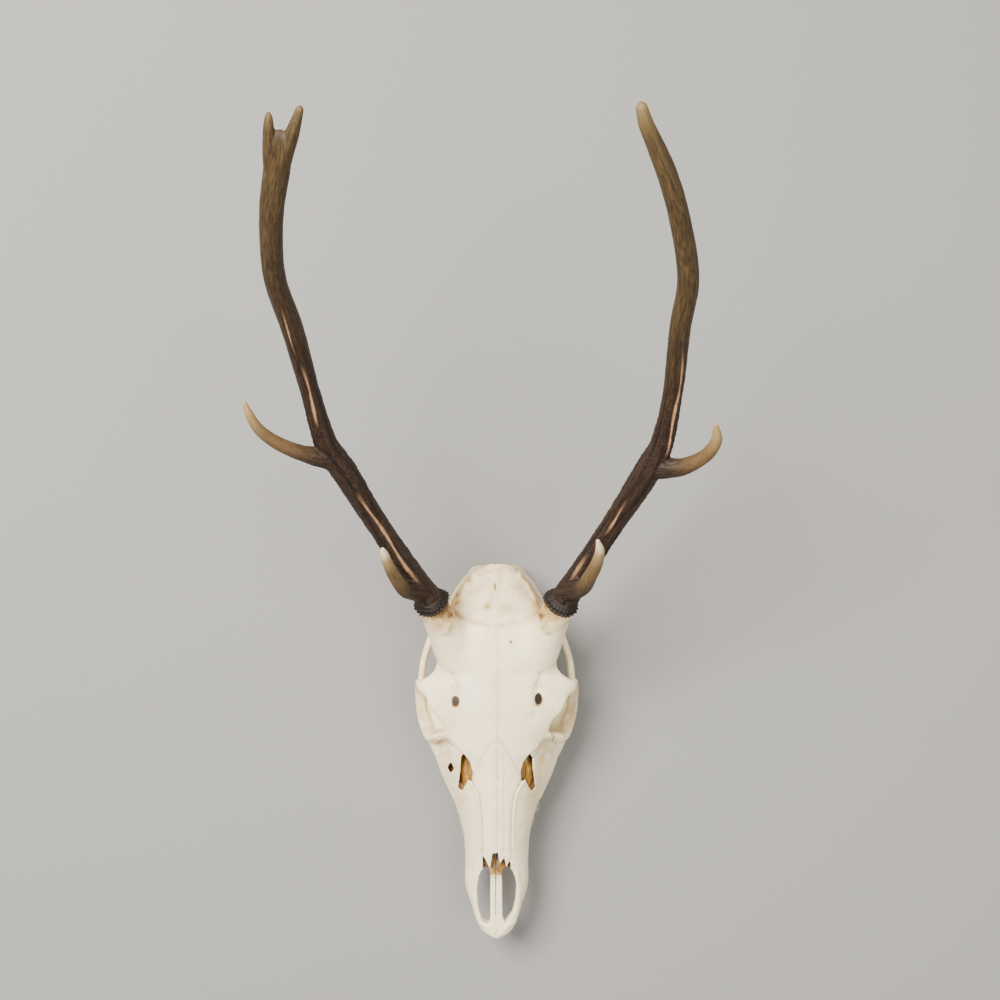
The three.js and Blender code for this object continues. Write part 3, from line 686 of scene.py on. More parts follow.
def mark_shares(places, side, width, line):
    """How strongly a mark along a line acts at each place, from 0 to 1."""
    line = np.array(line, float)
    measured = places[:, :line.shape[1]].copy()
    if side == "both":
        measured[:, 0] = np.abs(measured[:, 0])
    gap = np.full(len(places), np.inf)
    for start, end in zip(line[:-1], line[1:]):
        reach = end - start
        share = np.clip((measured - start) @ reach / (reach @ reach), 0, 1)
        gap = np.minimum(gap, np.linalg.norm(measured - start - share[:, None] * reach, axis=1))
    return np.exp(-((gap / width) ** 2))


places, normals = vertex_places(skull), vertex_normals(skull)
faces_up = soft_step(-0.1, 0.35, normals[:, 2])
relief = 0.28 * wander(places, 11) + 0.12 * wander(places, 3.5)
for side, width, height, _, line in MARKS.values():
    in_plan = len(line[0]) == 2
    relief += height * (faces_up if in_plan else 1) * mark_shares(places, side, width, line)
at_nape = soft_step(283, 291, places[:, 1]) * soft_step(48, 60, places[:, 2])
relief += 1 * at_nape * wander(places, 2.8)
set_places(skull, places + normals * relief[:, None])


# The bones of the face are parted along their sutures, fine wavy joints that hold them edge to
# edge: the nasal bones first, then the cheek bones, the snout's, the jaw's and the forehead's.
CHEEK_BONE = [
    (142, 45), (150, 60), (212, 62), (223, 58), (221, 30), (180, 22), (157, 23), (145, 33),
]
SNOUT_SUTURE = [(112, 90), (98, 62), (79, 45), (73, 28), (71, 10)]
JAW_SUTURE = [(124, 100), (129, 66), (158, 46), (166, 32), (171, 26), (171, -5)]
FOREHEAD_SUTURE = [(149, 52), (168, 60), (236, 63), (256, 78), (284, 106)]
PAIRED_BONES = [
    (-10, -5), (171, -5), (171, 26), (166, 32), (158, 46), (149.8, 51.65), (168, 60), (236, 63),
    (256, 78), (290, 112), (-10, 112),
]
SUTURE = 0.12
WAVE_LENGTH = 3.4


def midline_place(y):
    """How far to the right of the middle the joint between left and right bones runs."""
    if y < 66:
        return -0.75
    if y < 165:
        return 0.92
    swing = min(1, (y - 165) / 12)
    return swing * (0.55 * math.sin(math.tau * y / WAVE_LENGTH) + 0.7 * math.sin(y / 5.7))


def band(line, width):
    """A thin closed outline along a line of points."""
    points = np.array(line, float)
    along = np.gradient(points, axis=0)
    along /= np.linalg.norm(along, axis=1)[:, None]
    aside = np.column_stack([-along[:, 1], along[:, 0]]) * width / 2
    return [tuple(point) for point in np.vstack([points + aside, (points - aside)[::-1]])]


bones = {}
for side, outline in (("left", NASAL_LEFT), ("right", NASAL_RIGHT)):
    nasal = copy_of(skull, f"nasal_{side}_bone")
    cut(nasal, plate("nasal_outline", outline, "z", 50, 110), "INTERSECT")
    cut(skull, plate("nasal_outline", grown(outline, NASAL_SEAM), "z", 50, 110))
    bones[f"nasal_{side}"] = nasal
for side, start, end in (("left", -80, -36), ("right", 36, 80)):
    cheek = copy_of(skull, f"zygomatic_{side}_bone")
    cut(cheek, plate("cheek_outline", CHEEK_BONE, "x", start, end), "INTERSECT")
    cut(skull, plate("cheek_outline", grown(CHEEK_BONE, SUTURE), "x", start - SUTURE, end + SUTURE))
    bones[f"zygomatic_{side}"] = cheek
for line in (SNOUT_SUTURE, JAW_SUTURE, FOREHEAD_SUTURE):
    cut(skull, plate("suture", band(line, SUTURE), "x", -80, 80))
midline_stops = [-10, 60, 72, *np.arange(165, 292, 0.7)]
midline = [(midline_place(y), y) for y in midline_stops]
midline_joint = plate("midline_joint", band(midline, SUTURE), "z", -10, 120)
cut(midline_joint, plate("paired_bones", PAIRED_BONES, "x", -6, 6), "INTERSECT")
cut(skull, midline_joint)

activate(skull)
bpy.ops.mesh.separate(type="LOOSE")
loose = list(bpy.context.selected_objects)


def middle_of(piece):
    places = vertex_places(piece)
    return (places.min(0) + places.max(0)) / 2


def claim(name, fits):
    fitting = [piece for piece in loose if fits(*middle_of(piece))]
    largest = max(fitting, key=lambda piece: len(piece.data.vertices))
    loose.remove(largest)
    largest.name = f"{name}_bone"
    bones[name] = largest


for side, sign in (("left", -1), ("right", 1)):
    claim(f"premaxilla_{side}", lambda x, y, z: x * sign > 3 and y < 60)
    claim(f"maxilla_{side}", lambda x, y, z: x * sign > 3 and 100 < y < 135)
    claim(f"frontal_{side}", lambda x, y, z: x * sign > 3 and y > 150 and z > 60)
claim("braincase", lambda x, y, z: abs(x) < 3 and y > 200)
for scrap in loose:
    bpy.data.objects.remove(scrap)


# The bone's finish: boiled, bleached and brushed clean, so it is matt and cream white. Tan stays in
# the grooves, at the stalks' necks and over the crown, and ochre stain in the nose. Tan painted shade
# lies in the eye sockets and on the steep cheeks, and the nose's ochre is partly painted shade too.
def stains_and_painted_shade(places):
    """How much tan or ochre each place gets, from 0, cream white, to 1, ochre brown: stain and painted
    shade together.
    """
    x, y, z = np.abs(places[:, 0]), places[:, 1], places[:, 2]
    stalk_necks = soft_step(95, 108, z) * soft_step(240, 250, y)
    crown = soft_step(246, 264, y) * soft_step(30, 60, z)
    amount = 0.3 * stalk_necks + 0.2 * crown
    # Painted shade: tan over the inside of each eye socket.
    from_socket = (np.column_stack([x, y, z]) - ORBIT_CENTRE) / ORBIT_SIZES
    amount += 0.34 * (1 - soft_step(1, 1.12, np.linalg.norm(from_socket, axis=1)))
    underside = (1 - soft_step(26, 44, z)) * soft_step(60, 90, y)
    amount += 0.25 * underside
    for side, width, _, stain, line in MARKS.values():
        if stain:
            upper_side = soft_step(44, 60, z) if len(line[0]) == 2 and side != "middle" else 1
            amount += stain * upper_side * mark_shares(places, side, 1.4 * width, line)
    for hole_x, hole_y, wide, long in BROW_HOLES:
        aside = np.hypot((places[:, 0] - hole_x) / wide, (y - hole_y) / long)
        amount += 0.7 * (aside < 1.3) * (1 - soft_step(83.5, 86.5, z))
    amount *= 0.75 + 0.7 * np.clip(wander(places, 7), -0.7, 1)
    amount += 0.12 * np.clip(wander(places, 19), 0, 1)
    _, _, top, widest, _, upper = read_rows(FACE_ROWS, y)
    _, half_width, floor_height = read_rows(CAVITY_ROWS, y)
    high = z > widest
    rise_above = (z - widest) / (top - BONE_THICKNESS - widest)
    fall_below = (widest - z) / (widest - floor_height)
    rise = np.where(high, rise_above, fall_below)
    power = np.where(high, upper, 3)
    reach = (x / half_width) ** power + np.maximum(rise, 0) ** power
    # Ochre inside the nose: partly the grease stain of the bone and partly painted shade in the hollow.
    in_nose = (1 - soft_step(1.03, 1.07, reach)) * soft_step(49, 53, y) * (1 - soft_step(158, 161, y))
    return np.clip(np.maximum(amount, 0.95 * in_nose), 0, 1.1)


bleached_bone, tree, shader = new_material("bleached bone")
coordinates = add_node(tree, "ShaderNodeTexCoord").outputs["Object"]
blotches = add_node(tree, "ShaderNodeTexNoise", {"Vector": coordinates, "Scale": 32, "Detail": 5})
blotch_share = add_node(tree, "ShaderNodeMapRange", {
    "Value": blotches.outputs["Fac"], "From Min": 0.48, "From Max": 0.78, "To Max": 0.7})
flecks = add_node(tree, "ShaderNodeTexNoise", {"Vector": coordinates, "Scale": 420, "Detail": 3})
fleck_share = add_node(tree, "ShaderNodeMapRange", {
    "Value": flecks.outputs["Fac"], "From Min": 0.56, "From Max": 0.74, "To Max": 0.5})
# The 'stain' attribute holds the bone's stain together with painted shade in the sockets, on the cheeks
# and in the nose.
stain = add_node(tree, "ShaderNodeAttribute", attribute_name="stain").outputs["Fac"]
streaked = add_node(tree, "ShaderNodeTexNoise", {"Vector": coordinates, "Scale": 150, "Detail": 4})
uneven = add_node(tree, "ShaderNodeMapRange", {
    "Value": streaked.outputs["Fac"], "From Min": 0.25, "From Max": 0.7, "To Min": 0.6, "To Max": 1.25})
stain = add_node(tree, "ShaderNodeMath", {0: stain, 1: uneven.outputs["Result"]}, operation="MULTIPLY")
tan_share = add_node(tree, "ShaderNodeMapRange", {"Value": stain.outputs[0], "From Max": 0.55})
ochre_share = add_node(tree, "ShaderNodeMapRange", {
    "Value": stain.outputs[0], "From Min": 0.5, "From Max": 1})
BONE_LAYERS = [
    (blotch_share, "#EFDCA9"),
    (fleck_share, "#DFC58C"),
    (tan_share, "#C6A468"),
    (ochre_share, "#70490F"),
]
bone_shade = colour("#FFF0C9")
for share, shade in BONE_LAYERS:
    bone_shade = add_node(tree, "ShaderNodeMix", {
        0: share.outputs["Result"], 6: bone_shade, 7: colour(shade)}, data_type="RGBA").outputs[2]
tree.links.new(bone_shade, shader.inputs["Base Color"])
shader.inputs["Roughness"].default_value = 0.5
grain = add_node(tree, "ShaderNodeTexNoise", {"Vector": coordinates, "Scale": 700, "Detail": 4})
grain_bump = add_node(tree, "ShaderNodeBump", {
    "Height": grain.outputs["Fac"], "Strength": 0.22, "Distance": 0.0005})
pores = add_node(tree, "ShaderNodeTexVoronoi", {"Vector": coordinates, "Scale": 520})
pore_depth = add_node(tree, "ShaderNodeMapRange", {
    "Value": pores.outputs["Distance"], "From Min": 0.05, "From Max": 0.35})
pore_bump = add_node(tree, "ShaderNodeBump", {
    "Height": pore_depth.outputs["Result"], "Strength": tan_share.outputs["Result"],
    "Distance": 0.0005, "Normal": grain_bump.outputs["Normal"]})
tree.links.new(pore_bump.outputs["Normal"], shader.inputs["Normal"])

CREASE_ANGLE = math.radians(50)
for node_name, piece in bones.items():
    # Stain and painted shade go into the 'stain' attribute.
    set_values(piece, "stain", stains_and_painted_shade(vertex_places(piece)))
    dress(piece, bleached_bone)
    bpy.ops.object.shade_smooth_by_angle(angle=CREASE_ANGLE)
    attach(piece, "root")
    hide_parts(node_name)


# The cheek teeth, three premolars of one lobe and three molars of two in each upper jaw. Each lobe
# is a ribbed column of enamel worn down to a sharp crescent rim around a brown hollow.
TOOTH_ROW_FRONT = 83
TOOTH_ROW_REAR = 168
TOOTH_ROW_SLOPE = math.tan(math.radians(8.5))
TEETH = [(10.5, 9, 25.5, 1), (11.5, 11, 28.6, 1), (11.5, 12.5, 30, 1),
         (15, 15, 31, 2), (17.5, 16.5, 31.5, 2), (19, 16.5, 31.5, 2)]
LOBE_ROWS = [(0, 0.8, 16), (0.45, 0.93, 6), (0.66, 1, 1.4), (0.74, 0.96, 0.1), (0.78, 0.86, 0),
             (0.84, 0.66, 1.4), (0.92, 0.45, 2.6), (1, 0.1, 2.9)]


def tooth_lobe(x, y, wide, long):
    lowest = (TOOTH_ROW_REAR - y) * TOOTH_ROW_SLOPE
    outward = 1 if x > 0 else -1

    def shape(share, turn):
        _, size, rise = read_rows(LOBE_ROWS, share)
        across, along = np.sin(turn), np.cos(turn)
        rib = 1 + 0.07 * np.cos(4 * turn) * soft_step(0, 1, outward * across)
        crest = 1.5 * np.clip(outward * across, 0, 1) * soft_step(0.5, 0.76, share)
        return np.column_stack([
            x + wide / 2 * size * rib * signed_power(across, 0.8),
            y + long / 2 * size * rib * signed_power(along, 0.8),
            lowest + rise + 0.8 - crest * 0.55])

    return closed_skin("lobe", 40, 40, shape)


tooth_enamel, tree, shader = new_material("tooth enamel")
coordinates = add_node(tree, "ShaderNodeTexCoord").outputs["Object"]
tartar = add_node(tree, "ShaderNodeTexNoise", {"Vector": coordinates, "Scale": 260, "Detail": 5})
worn = add_node(tree, "ShaderNodeAttribute", attribute_name="stain").outputs["Fac"]
worn = add_node(tree, "ShaderNodeMath", {0: worn, 1: tartar.outputs["Fac"]}, operation="MULTIPLY")
worn_share = add_node(tree, "ShaderNodeMapRange", {"Value": worn.outputs[0], "From Max": 0.5})
enamel_shade = add_node(tree, "ShaderNodeMix", {
    0: worn_share.outputs["Result"], 6: colour("#E9DFC6"), 7: colour("#5E3D1D")}, data_type="RGBA")
tree.links.new(enamel_shade.outputs[2], shader.inputs["Base Color"])
shader.inputs["Roughness"].default_value = 0.3
enamel_bump = add_node(tree, "ShaderNodeBump", {
    "Height": tartar.outputs["Fac"], "Strength": 0.2, "Distance": 0.0005})
tree.links.new(enamel_bump.outputs["Normal"], shader.inputs["Normal"])

for side, sign in (("left", -1), ("right", 1)):
    lobes = []
    tooth_front = TOOTH_ROW_FRONT
    for length, width, middle, lobe_count in TEETH:
        long = length / lobe_count
        for lobe in range(lobe_count):
            lobe_middle = tooth_front + long * (lobe + 0.5)
            lobes.append(tooth_lobe(sign * middle, lobe_middle, width, long * 1.08))
        tooth_front += length
    row = merge_pieces(f"teeth_{side}", lobes)
    renew_skin(row, grain=0.42, softening=2)
    places = vertex_places(row)
    above_rim = places[:, 2] - (TOOTH_ROW_REAR - places[:, 1]) * TOOTH_ROW_SLOPE
    hollow_share = soft_step(0.3, 2.4, above_rim) * (vertex_normals(row)[:, 2] < -0.45)
    gum_share = 0.7 * soft_step(6, 13, above_rim)
    set_values(row, "stain", np.clip(hollow_share + gum_share, 0, 1))
    dress(row, tooth_enamel)
    bpy.ops.object.shade_smooth()
    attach(row, "root")
    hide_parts(f"maxilla_{side}")


# The scroll bones and the blade between them fill the nose. They are leaves of bone as thin as
# paper, rolled lengthwise, and grease has turned them ochre brown with darker streaks.
SCROLL_ROWS = [
    (9, 88, 46, 3.6, 7), (13, 106, 48, 6, 9), (17, 122, 50, 8.6, 11),
    (19, 136, 51.5, 10.4, 12.5), (18.5, 147, 51, 9.4, 11), (16.5, 156, 48.5, 5, 6.5),
]
SCROLL_START, SCROLL_LENGTH = 88, 68
SCROLL_FOLDS = 5
BLADE_OUTLINE = [(78, 31.5), (136, 31.5), (151, 33), (151, 56), (120, 50), (84, 40)]
scroll_bone, tree, shader = new_material("scroll bone")
coordinates = add_node(tree, "ShaderNodeTexCoord").outputs["Object"]
lengthwise = add_node(tree, "ShaderNodeMapping", {
    "Vector": coordinates, "Rotation": (0, 0, 0.25), "Scale": (1, 0.16, 0.6)})
streaks = add_node(tree, "ShaderNodeTexNoise", {
    "Vector": lengthwise.outputs["Vector"], "Scale": 420, "Detail": 4, "Roughness": 0.6})
dark_share = add_node(tree, "ShaderNodeMapRange", {
    "Value": streaks.outputs["Fac"], "From Min": 0.42, "From Max": 0.68})
pale_share = add_node(tree, "ShaderNodeMapRange", {
    "Value": streaks.outputs["Fac"], "From Min": 0.44, "From Max": 0.3})
scroll_shade = colour("#A5782A")
for share, shade in ((dark_share, "#623E10"), (pale_share, "#CDA34A")):
    scroll_shade = add_node(tree, "ShaderNodeMix", {
        0: share.outputs["Result"], 6: scroll_shade, 7: colour(shade)}, data_type="RGBA").outputs[2]
tree.links.new(scroll_shade, shader.inputs["Base Color"])
shader.inputs["Roughness"].default_value = 0.6
scroll_bump = add_node(tree, "ShaderNodeBump", {
    "Height": streaks.outputs["Fac"], "Strength": 0.5, "Distance": 0.001})
tree.links.new(scroll_bump.outputs["Normal"], shader.inputs["Normal"])

thin_bones = {"vomer": plate("blade", BLADE_OUTLINE, "x", -1.1, 1.1)}
for side, scroll in zip(("right", "left"), both_sides("scroll", SCROLL_ROWS, limb)):
    renew_skin(scroll, grain=0.7, softening=2)
    places = vertex_places(scroll)
    sign = 1 if side == "right" else -1
    share = (places[:, 1] - SCROLL_START) / SCROLL_LENGTH
    middle = smooth_line([row[:3] for row in SCROLL_ROWS], share)[0]
    turn = np.arctan2(sign * places[:, 0] - middle[:, 0], places[:, 2] - middle[:, 2])
    fold = np.abs(np.sin(SCROLL_FOLDS / 2 * turn + places[:, 1] / 26)) ** 0.6
    relief = 2.2 * (fold - 1) + 0.5 * wander(places * (1, 0.4, 1), 2.5)
    set_places(scroll, places + vertex_normals(scroll) * relief[:, None])
    thin_bones[f"turbinates_{side}"] = scroll
renew_skin(thin_bones["vomer"], grain=0.5, softening=4)
for node_name, piece in thin_bones.items():
    piece.name = f"{node_name}_leaf"
    dress(piece, scroll_bone)
    bpy.ops.object.shade_smooth()
    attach(piece, "root")
    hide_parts(node_name)


# The antlers. Each is one bone grown in a season: a beaded burr on its stalk, a beam that bends
# out, up and in, a brow tine, a middle tine and, on the left, two short points at the top.
# Shallow gutters, where blood vessels lay, run up the beam, and rubbing has polished its ridges.
LEFT_BEAM = [
    (-45.5, 262.5, 102, 11.4),
    (-50.5, 272, 111.5, 10.6),
    (-61, 288, 119.5, 9.2),
    (-84.5, 325.5, 144, 8.2),
    (-107, 366, 176, 9.4),
    (-117, 383, 190, 8.4),
    (-125, 417, 216, 6.8),
    (-132, 455, 253, 7.4),
    (-139.3, 486, 285, 7.2),
    (-136, 520, 320, 7.6, 6.6),
    (-130, 541, 340, 8.2, 6),
    (-126.8, 552, 350.5, 7.4, 4.8),
    (-125.9, 557.5, 355.4, 5.2, 3.6),
    (-125.5, 560.6, 358, 1.6, 1.4),
]
LEFT_TINES = {
    "brow": [
        (-54, 277, 117, 8.4), (-66, 279.4, 132, 6), (-71.7, 287.3, 145, 4.8),
        (-76.1, 297.4, 160, 4), (-79, 307.5, 172, 2.9), (-79.8, 311, 176.4, 1.2),
    ],
    "middle": [
        (-108.5, 369, 178.5, 6), (-120, 374, 187.5, 7.2), (-135, 377.7, 196, 5.6),
        (-150.5, 384.8, 208, 4.6), (-159.8, 392.8, 218, 3.8), (-165, 403, 228, 2.8),
        (-166.8, 410, 233, 1.1),
    ],
    "outer_top": [
        (-134.5, 524, 324, 3.4), (-133, 546, 346, 4.4), (-132, 559, 357.6, 3.6),
        (-131.2, 566.5, 363.6, 2.3), (-131, 569, 365.4, 0.9),
    ],
    "inner_top": [
        (-132.5, 526, 326, 3.2), (-127.4, 540, 339.5, 4.8), (-123.6, 549, 348.5, 5.2),
        (-119.4, 557, 355.2, 4.6), (-115.4, 565, 361.2, 3.3), (-112.9, 570.4, 365.8, 2.4),
        (-112.3, 572, 367.2, 0.9),
    ],
}
RIGHT_BEAM = [
    (45.5, 262.5, 102, 11.4),
    (50.5, 272, 111.5, 10.6),
    (60, 288, 119.5, 9.2),
    (82.6, 325.5, 144, 8.3),
    (107, 367, 178, 9.8),
    (114, 383, 190, 8.4),
    (118.8, 416, 216, 6.9),
    (119.8, 459, 256, 7.2),
    (121.5, 484, 281, 7.1),
    (112.7, 515.5, 313, 6.7),
    (101.2, 540, 340, 6.2),
    (87, 563.5, 362.6, 4.6),
    (83.8, 571, 369.3, 3.4),
    (82.8, 573, 371, 1.4),
]
RIGHT_TINES = {
    "brow": [
        (51.5, 277.5, 117, 8.4), (62.5, 281.5, 136, 6.3), (67.3, 290.5, 150, 5.2),
        (71.3, 300.3, 163, 4.4), (72.6, 310, 175, 3.2), (70.6, 317, 182, 1.2),
    ],
    "middle": [
        (107, 365, 177, 6.2), (117, 367, 184, 7.4), (128, 367.8, 190, 6.4), (138, 372, 200, 5.2),
        (145, 378, 210, 4.6), (148.3, 386, 220, 3.8), (145.8, 395.5, 230, 1.4),
    ],
}
TOP_FORK = (-126, 555, 353)
BURR_HEIGHT = 8
BURR_PROFILE = [(0, 11.6), (0.1, 12.8), (0.3, 13), (0.6, 12.2), (1, 10.8)]
BURR_BEADS = 24
BEAD_HEIGHT = 2
SEAM_TO_STALK = 0.3
LINE_SAMPLES = 240
BEAM_GUTTERS, SIDE_GUTTERS = 7, 11
GUTTER_DEPTH, SIDE_GUTTER_DEPTH = 0.7, 0.35
GRAIN_HEIGHT = 0.3
SWELL_HEIGHT = 0.3
# How old the bark on a tine looks at its root, 0 as at the burr and 1 as at the beam's top, and how
# much it ages towards the tine's end.
TINE_TONES = {
    "brow": (0.1, 0),
    "middle": (0.36, 0.34),
    "outer_top": (0.94, 0),
    "inner_top": (0.94, 0),
}
# Rubbed lines on the beam: from and to along the skull, the turn around the beam and the half width.
POLISHED = {
    "left": [(282, 352, 0.42, 0.11), (392, 436, 0.12, 0.11), (436, 470, -0.1, 0.05)],
    "right": [(318, 346, -0.5, 0.1), (284, 308, -0.7, 0.15), (372, 446, 0.45, 0.11)],
}
# How far each antler's colours climb from the dark lower coat towards the paler upper one: the left
# antler is kept darker than the right.
SIDE_TONE_REACH = {"left": 0.74, "right": 1}


def burr(name, sign):
    lower, upper = (np.array(row[:3]) * (sign, 1, 1) for row in PEDICLE_ROWS[-2:])
    axis = (upper - lower) / np.linalg.norm(upper - lower)
    across = np.array([1, 0, 0]) - axis * axis[0]
    across /= np.linalg.norm(across)
    up = np.cross(across, axis)

    def shape(share, turn):
        row = np.exp(-(((share - 0.22) / 0.17) ** 2)) + 0.5 * np.exp(-(((share - 0.62) / 0.12) ** 2))
        bead = np.abs(np.cos(BURR_BEADS / 2 * turn + 0.9 * np.sin(3 * turn) + 2.4 * (share > 0.45)))
        uneven = 1 + 0.04 * np.sin(3 * turn + 1) + 0.02 * np.sin(7 * turn)
        radius = read_rows(BURR_PROFILE, share)[1] * uneven + BEAD_HEIGHT * (bead * row - 0.3)
        return (upper + np.outer(SEAM_TO_STALK + BURR_HEIGHT * share, axis)
                + np.outer(radius * np.sin(turn), across) + np.outer(radius * np.cos(turn), up))

    return closed_skin(name, 270, 30, shape), upper, axis


def nearest_stretch(places, lines):
    """For each place, the stretch of limb it lies on: its line, length along and turn around."""
    samples = []
    for number, rows in enumerate(lines):
        rows = [(*row, row[3])[:5] for row in rows]
        share = np.linspace(0, 1, LINE_SAMPLES)
        middle, forward = smooth_line([row[:3] for row in rows], share)
        sizes = [(i / (len(rows) - 1), row[3]) for i, row in enumerate(rows)]
        radius = read_rows(sizes, share)[1]
        steps = np.linalg.norm(np.diff(middle, axis=0), axis=1)
        length = np.concatenate([[0], np.cumsum(steps)])
        samples.append(np.column_stack([
            np.full(LINE_SAMPLES, number), middle, forward, radius, length,
            np.full(LINE_SAMPLES, length[-1])]))
    table = np.vstack(samples)
    chosen = np.empty(len(places), int)
    for start in range(0, len(places), 8000):
        part = places[start:start + 8000]
        gaps = np.linalg.norm(part[:, None] - table[None, :, 1:4], axis=2)
        chosen[start:start + 8000] = np.argmin(gaps - table[None, :, 7], axis=1)
    near = table[chosen]
    away = places - near[:, 1:4]
    forward = near[:, 4:7]
    across = np.array([1.0, 0, 0]) - forward * forward[:, :1]
    across /= np.linalg.norm(across, axis=1)[:, None]
    up = np.cross(across, forward)
    turn = np.arctan2(np.sum(away * across, 1), np.sum(away * up, 1))
    length = near[:, 8] + np.sum(away * forward, 1)
    return near[:, 0], length, near[:, 9], turn, near[:, 7]


def beads(places, share_kept, radius_low, radius_high, seed):
    """Small domes strewn over the skin: how high each place stands, from 0 to 1."""
    draw = np.random.default_rng(seed)
    order = draw.permutation(len(places))
    kept = order[draw.random(len(places)) < share_kept[order]]
    tree = kdtree.KDTree(len(kept))
    for i, place in enumerate(places[kept]):
        tree.insert(place, i)
    tree.balance()
    radii = draw.uniform(radius_low, radius_high, len(kept))
    height = np.zeros(len(places))
    for i, place in enumerate(places):
        _, index, gap = tree.find(place)
        height[i] = max(0.0, 1 - (gap / radii[index]) ** 2)
    return height


def carve_antler(piece, side, beam, tines, burr_base, burr_axis):
    places = vertex_places(piece)
    line, length, whole, turn, radius = nearest_stretch(places, [beam, *tines.values()])
    along = np.clip(length / whole, 0, 1)
    on_beam = line == 0
    tones = np.array([(0, 0), *(TINE_TONES[name] for name in tines)])[line.astype(int)]
    brow = ~on_beam & (tones[:, 0] < 0.2)
    on_top = tones[:, 0] > 0.9
    from_burr = (places - burr_base) @ burr_axis
    on_burr = (from_burr < BURR_HEIGHT + 0.5) & (length < 24) & on_beam
    beam_roughness = 1 - 0.7 * soft_step(0.35, 0.7, along)
    tine_roughness = 0.8 - 0.8 * soft_step(0.1, 0.6, along)
    rough = np.where(on_beam, beam_roughness, tine_roughness)
    rough = np.where(on_burr | on_top, 0.1, rough)
    sway = 0.7 * np.sin(length / 33) + 0.4 * np.sin(length / 14 + 2)
    gutter = 1 - np.abs(np.sin(BEAM_GUTTERS / 2 * turn + sway)) ** 0.7
    side_gutter = 1 - np.abs(np.sin(SIDE_GUTTERS / 2 * turn - 1.4 * sway + 1)) ** 0.6
    grains = beads(places, 0.03 * np.clip(rough, 0, 1), radius_low=0.7, radius_high=1.2, seed=5)
    swells = wander(places * (1, 0.6, 0.6), 5)
    carved = GRAIN_HEIGHT * grains - GUTTER_DEPTH * gutter - SIDE_GUTTER_DEPTH * side_gutter
    relief = rough * carved + SWELL_HEIGHT * swells * (0.2 + rough)
    set_places(piece, places + vertex_normals(piece) * relief[:, None])

    polish = np.zeros(len(places))
    for start, end, middle_turn, width in POLISHED[side]:
        y = places[:, 1]
        stretch = soft_step(start, start + 14, y) * (1 - soft_step(end - 20, end, y))
        aside = turn - middle_turn - 0.1 * np.sin(length / 11)
        uneven_width = width * (1 + 0.3 * np.sin(length / 6))
        polish += on_beam * stretch * np.exp(-((aside / uneven_width) ** 4))
    tip = np.where(on_beam, 0, soft_step(0.62, 0.98, along) * np.where(brow, 1, 0.7))
    tip = np.where(on_top, 0.16 * soft_step(0.8, 1, along), tip)
    if side == "right":
        tip = np.where(on_beam, 0.3 * soft_step(0.94, 1, along), tip)
    gutter_share = np.clip(rough * (gutter + 0.4 * side_gutter - 0.5 * grains), 0, 1)
    values = {
        "polish": np.clip(polish, 0, 1),
        "tip": tip,
        "gutter": np.where(on_burr, 0.95, gutter_share),
        "age": SIDE_TONE_REACH[side] * np.where(on_beam, along, tones[:, 0] + tones[:, 1] * along),
        "ember": np.where(on_burr, 0.75 - 0.75 * soft_step(1, 3.2, from_burr), 0),
        "pale": np.where(on_beam | on_top, 0, 0.75 * soft_step(0.18, 0.62, along)),
        "fibre": np.column_stack([radius * np.sin(turn), radius * np.cos(turn), length * 0.14]) / 10,
    }
    for name, amounts in values.items():
        set_values(piece, name, amounts)


antlers = {}
SIDES = (("left", -1, LEFT_BEAM, LEFT_TINES), ("right", 1, RIGHT_BEAM, RIGHT_TINES))
for side, sign, beam, tines in SIDES:
    collar, burr_base, burr_axis = burr("burr", sign)
    limbs = [limb("beam", beam, around=48, along=260)]
    for name, rows in tines.items():
        limbs.append(limb(name, rows, around=36, along=60))
    below_burr = ball("stalk_end", burr_base - burr_axis * 20, (22, 22, 20 + SEAM_TO_STALK))
    cut(limbs[0], below_burr)
    antler = merge_pieces(f"antler_{side}", [collar, *limbs])
    renew_skin(antler, grain=0.6, softening=3)
    fork = np.array(tines["middle"][0][:3]) + (sign * 6, 4, 6)
    brow_root = np.array(tines["brow"][1][:3]) - (sign * 3, 0, 4)
    soften_near(antler, [fork, brow_root], reach=13, rounds=90)
    if side == "left":
        soften_near(antler, [TOP_FORK], reach=14, rounds=40)
    carve_antler(antler, side, beam, tines, burr_base, burr_axis)
    antlers[side] = antler

# Antler is dead bone stained by bark and earth: nearly black brown in the gutters, chocolate on the
# lower beam, olive brown and streaked higher up, with rubbed lines of pinkish tan, weathered tan
# tines and pale tips.
stained_antler, tree, shader = new_material("stained antler")
amount = {}
for name in ("polish", "tip", "gutter", "age", "ember", "pale"):
    amount[name] = add_node(tree, "ShaderNodeAttribute", attribute_name=name).outputs["Fac"]
fibre = add_node(tree, "ShaderNodeAttribute", attribute_name="fibre").outputs["Vector"]
streaks = add_node(tree, "ShaderNodeTexNoise", {
    "Vector": fibre, "Scale": 9, "Detail": 5, "Roughness": 0.65}).outputs["Fac"]
patches = add_node(tree, "ShaderNodeTexNoise", {
    "Vector": fibre, "Scale": 1.6, "Detail": 3}).outputs["Fac"]
fine_grain = add_node(tree, "ShaderNodeTexNoise", {
    "Vector": fibre, "Scale": 34, "Detail": 4}).outputs["Fac"]
RANGES = {
    "streak": (streaks, 0.42, 0.68, 0, 0.8),
    "dark streak": (streaks, 0.5, 0.3, 0, 0.8),
    "patch": (patches, 0.45, 0.62, 0, 0.6),
    "fleck": (fine_grain, 0.5, 0.7, 0, 0.5),
    "worn": (streaks, 0.3, 0.5, 0.35, 1.1),
    "climb": (amount["age"], 0.42, 0.72, 0, 1),
    "high": (amount["age"], 0.84, 1, 0, 0.3),
    "gutter": (amount["gutter"], 0.1, 0.9, 0, 0.85),
    "end": (amount["tip"], 0.7, 1.05, 0, 0.9),
}
share = {}
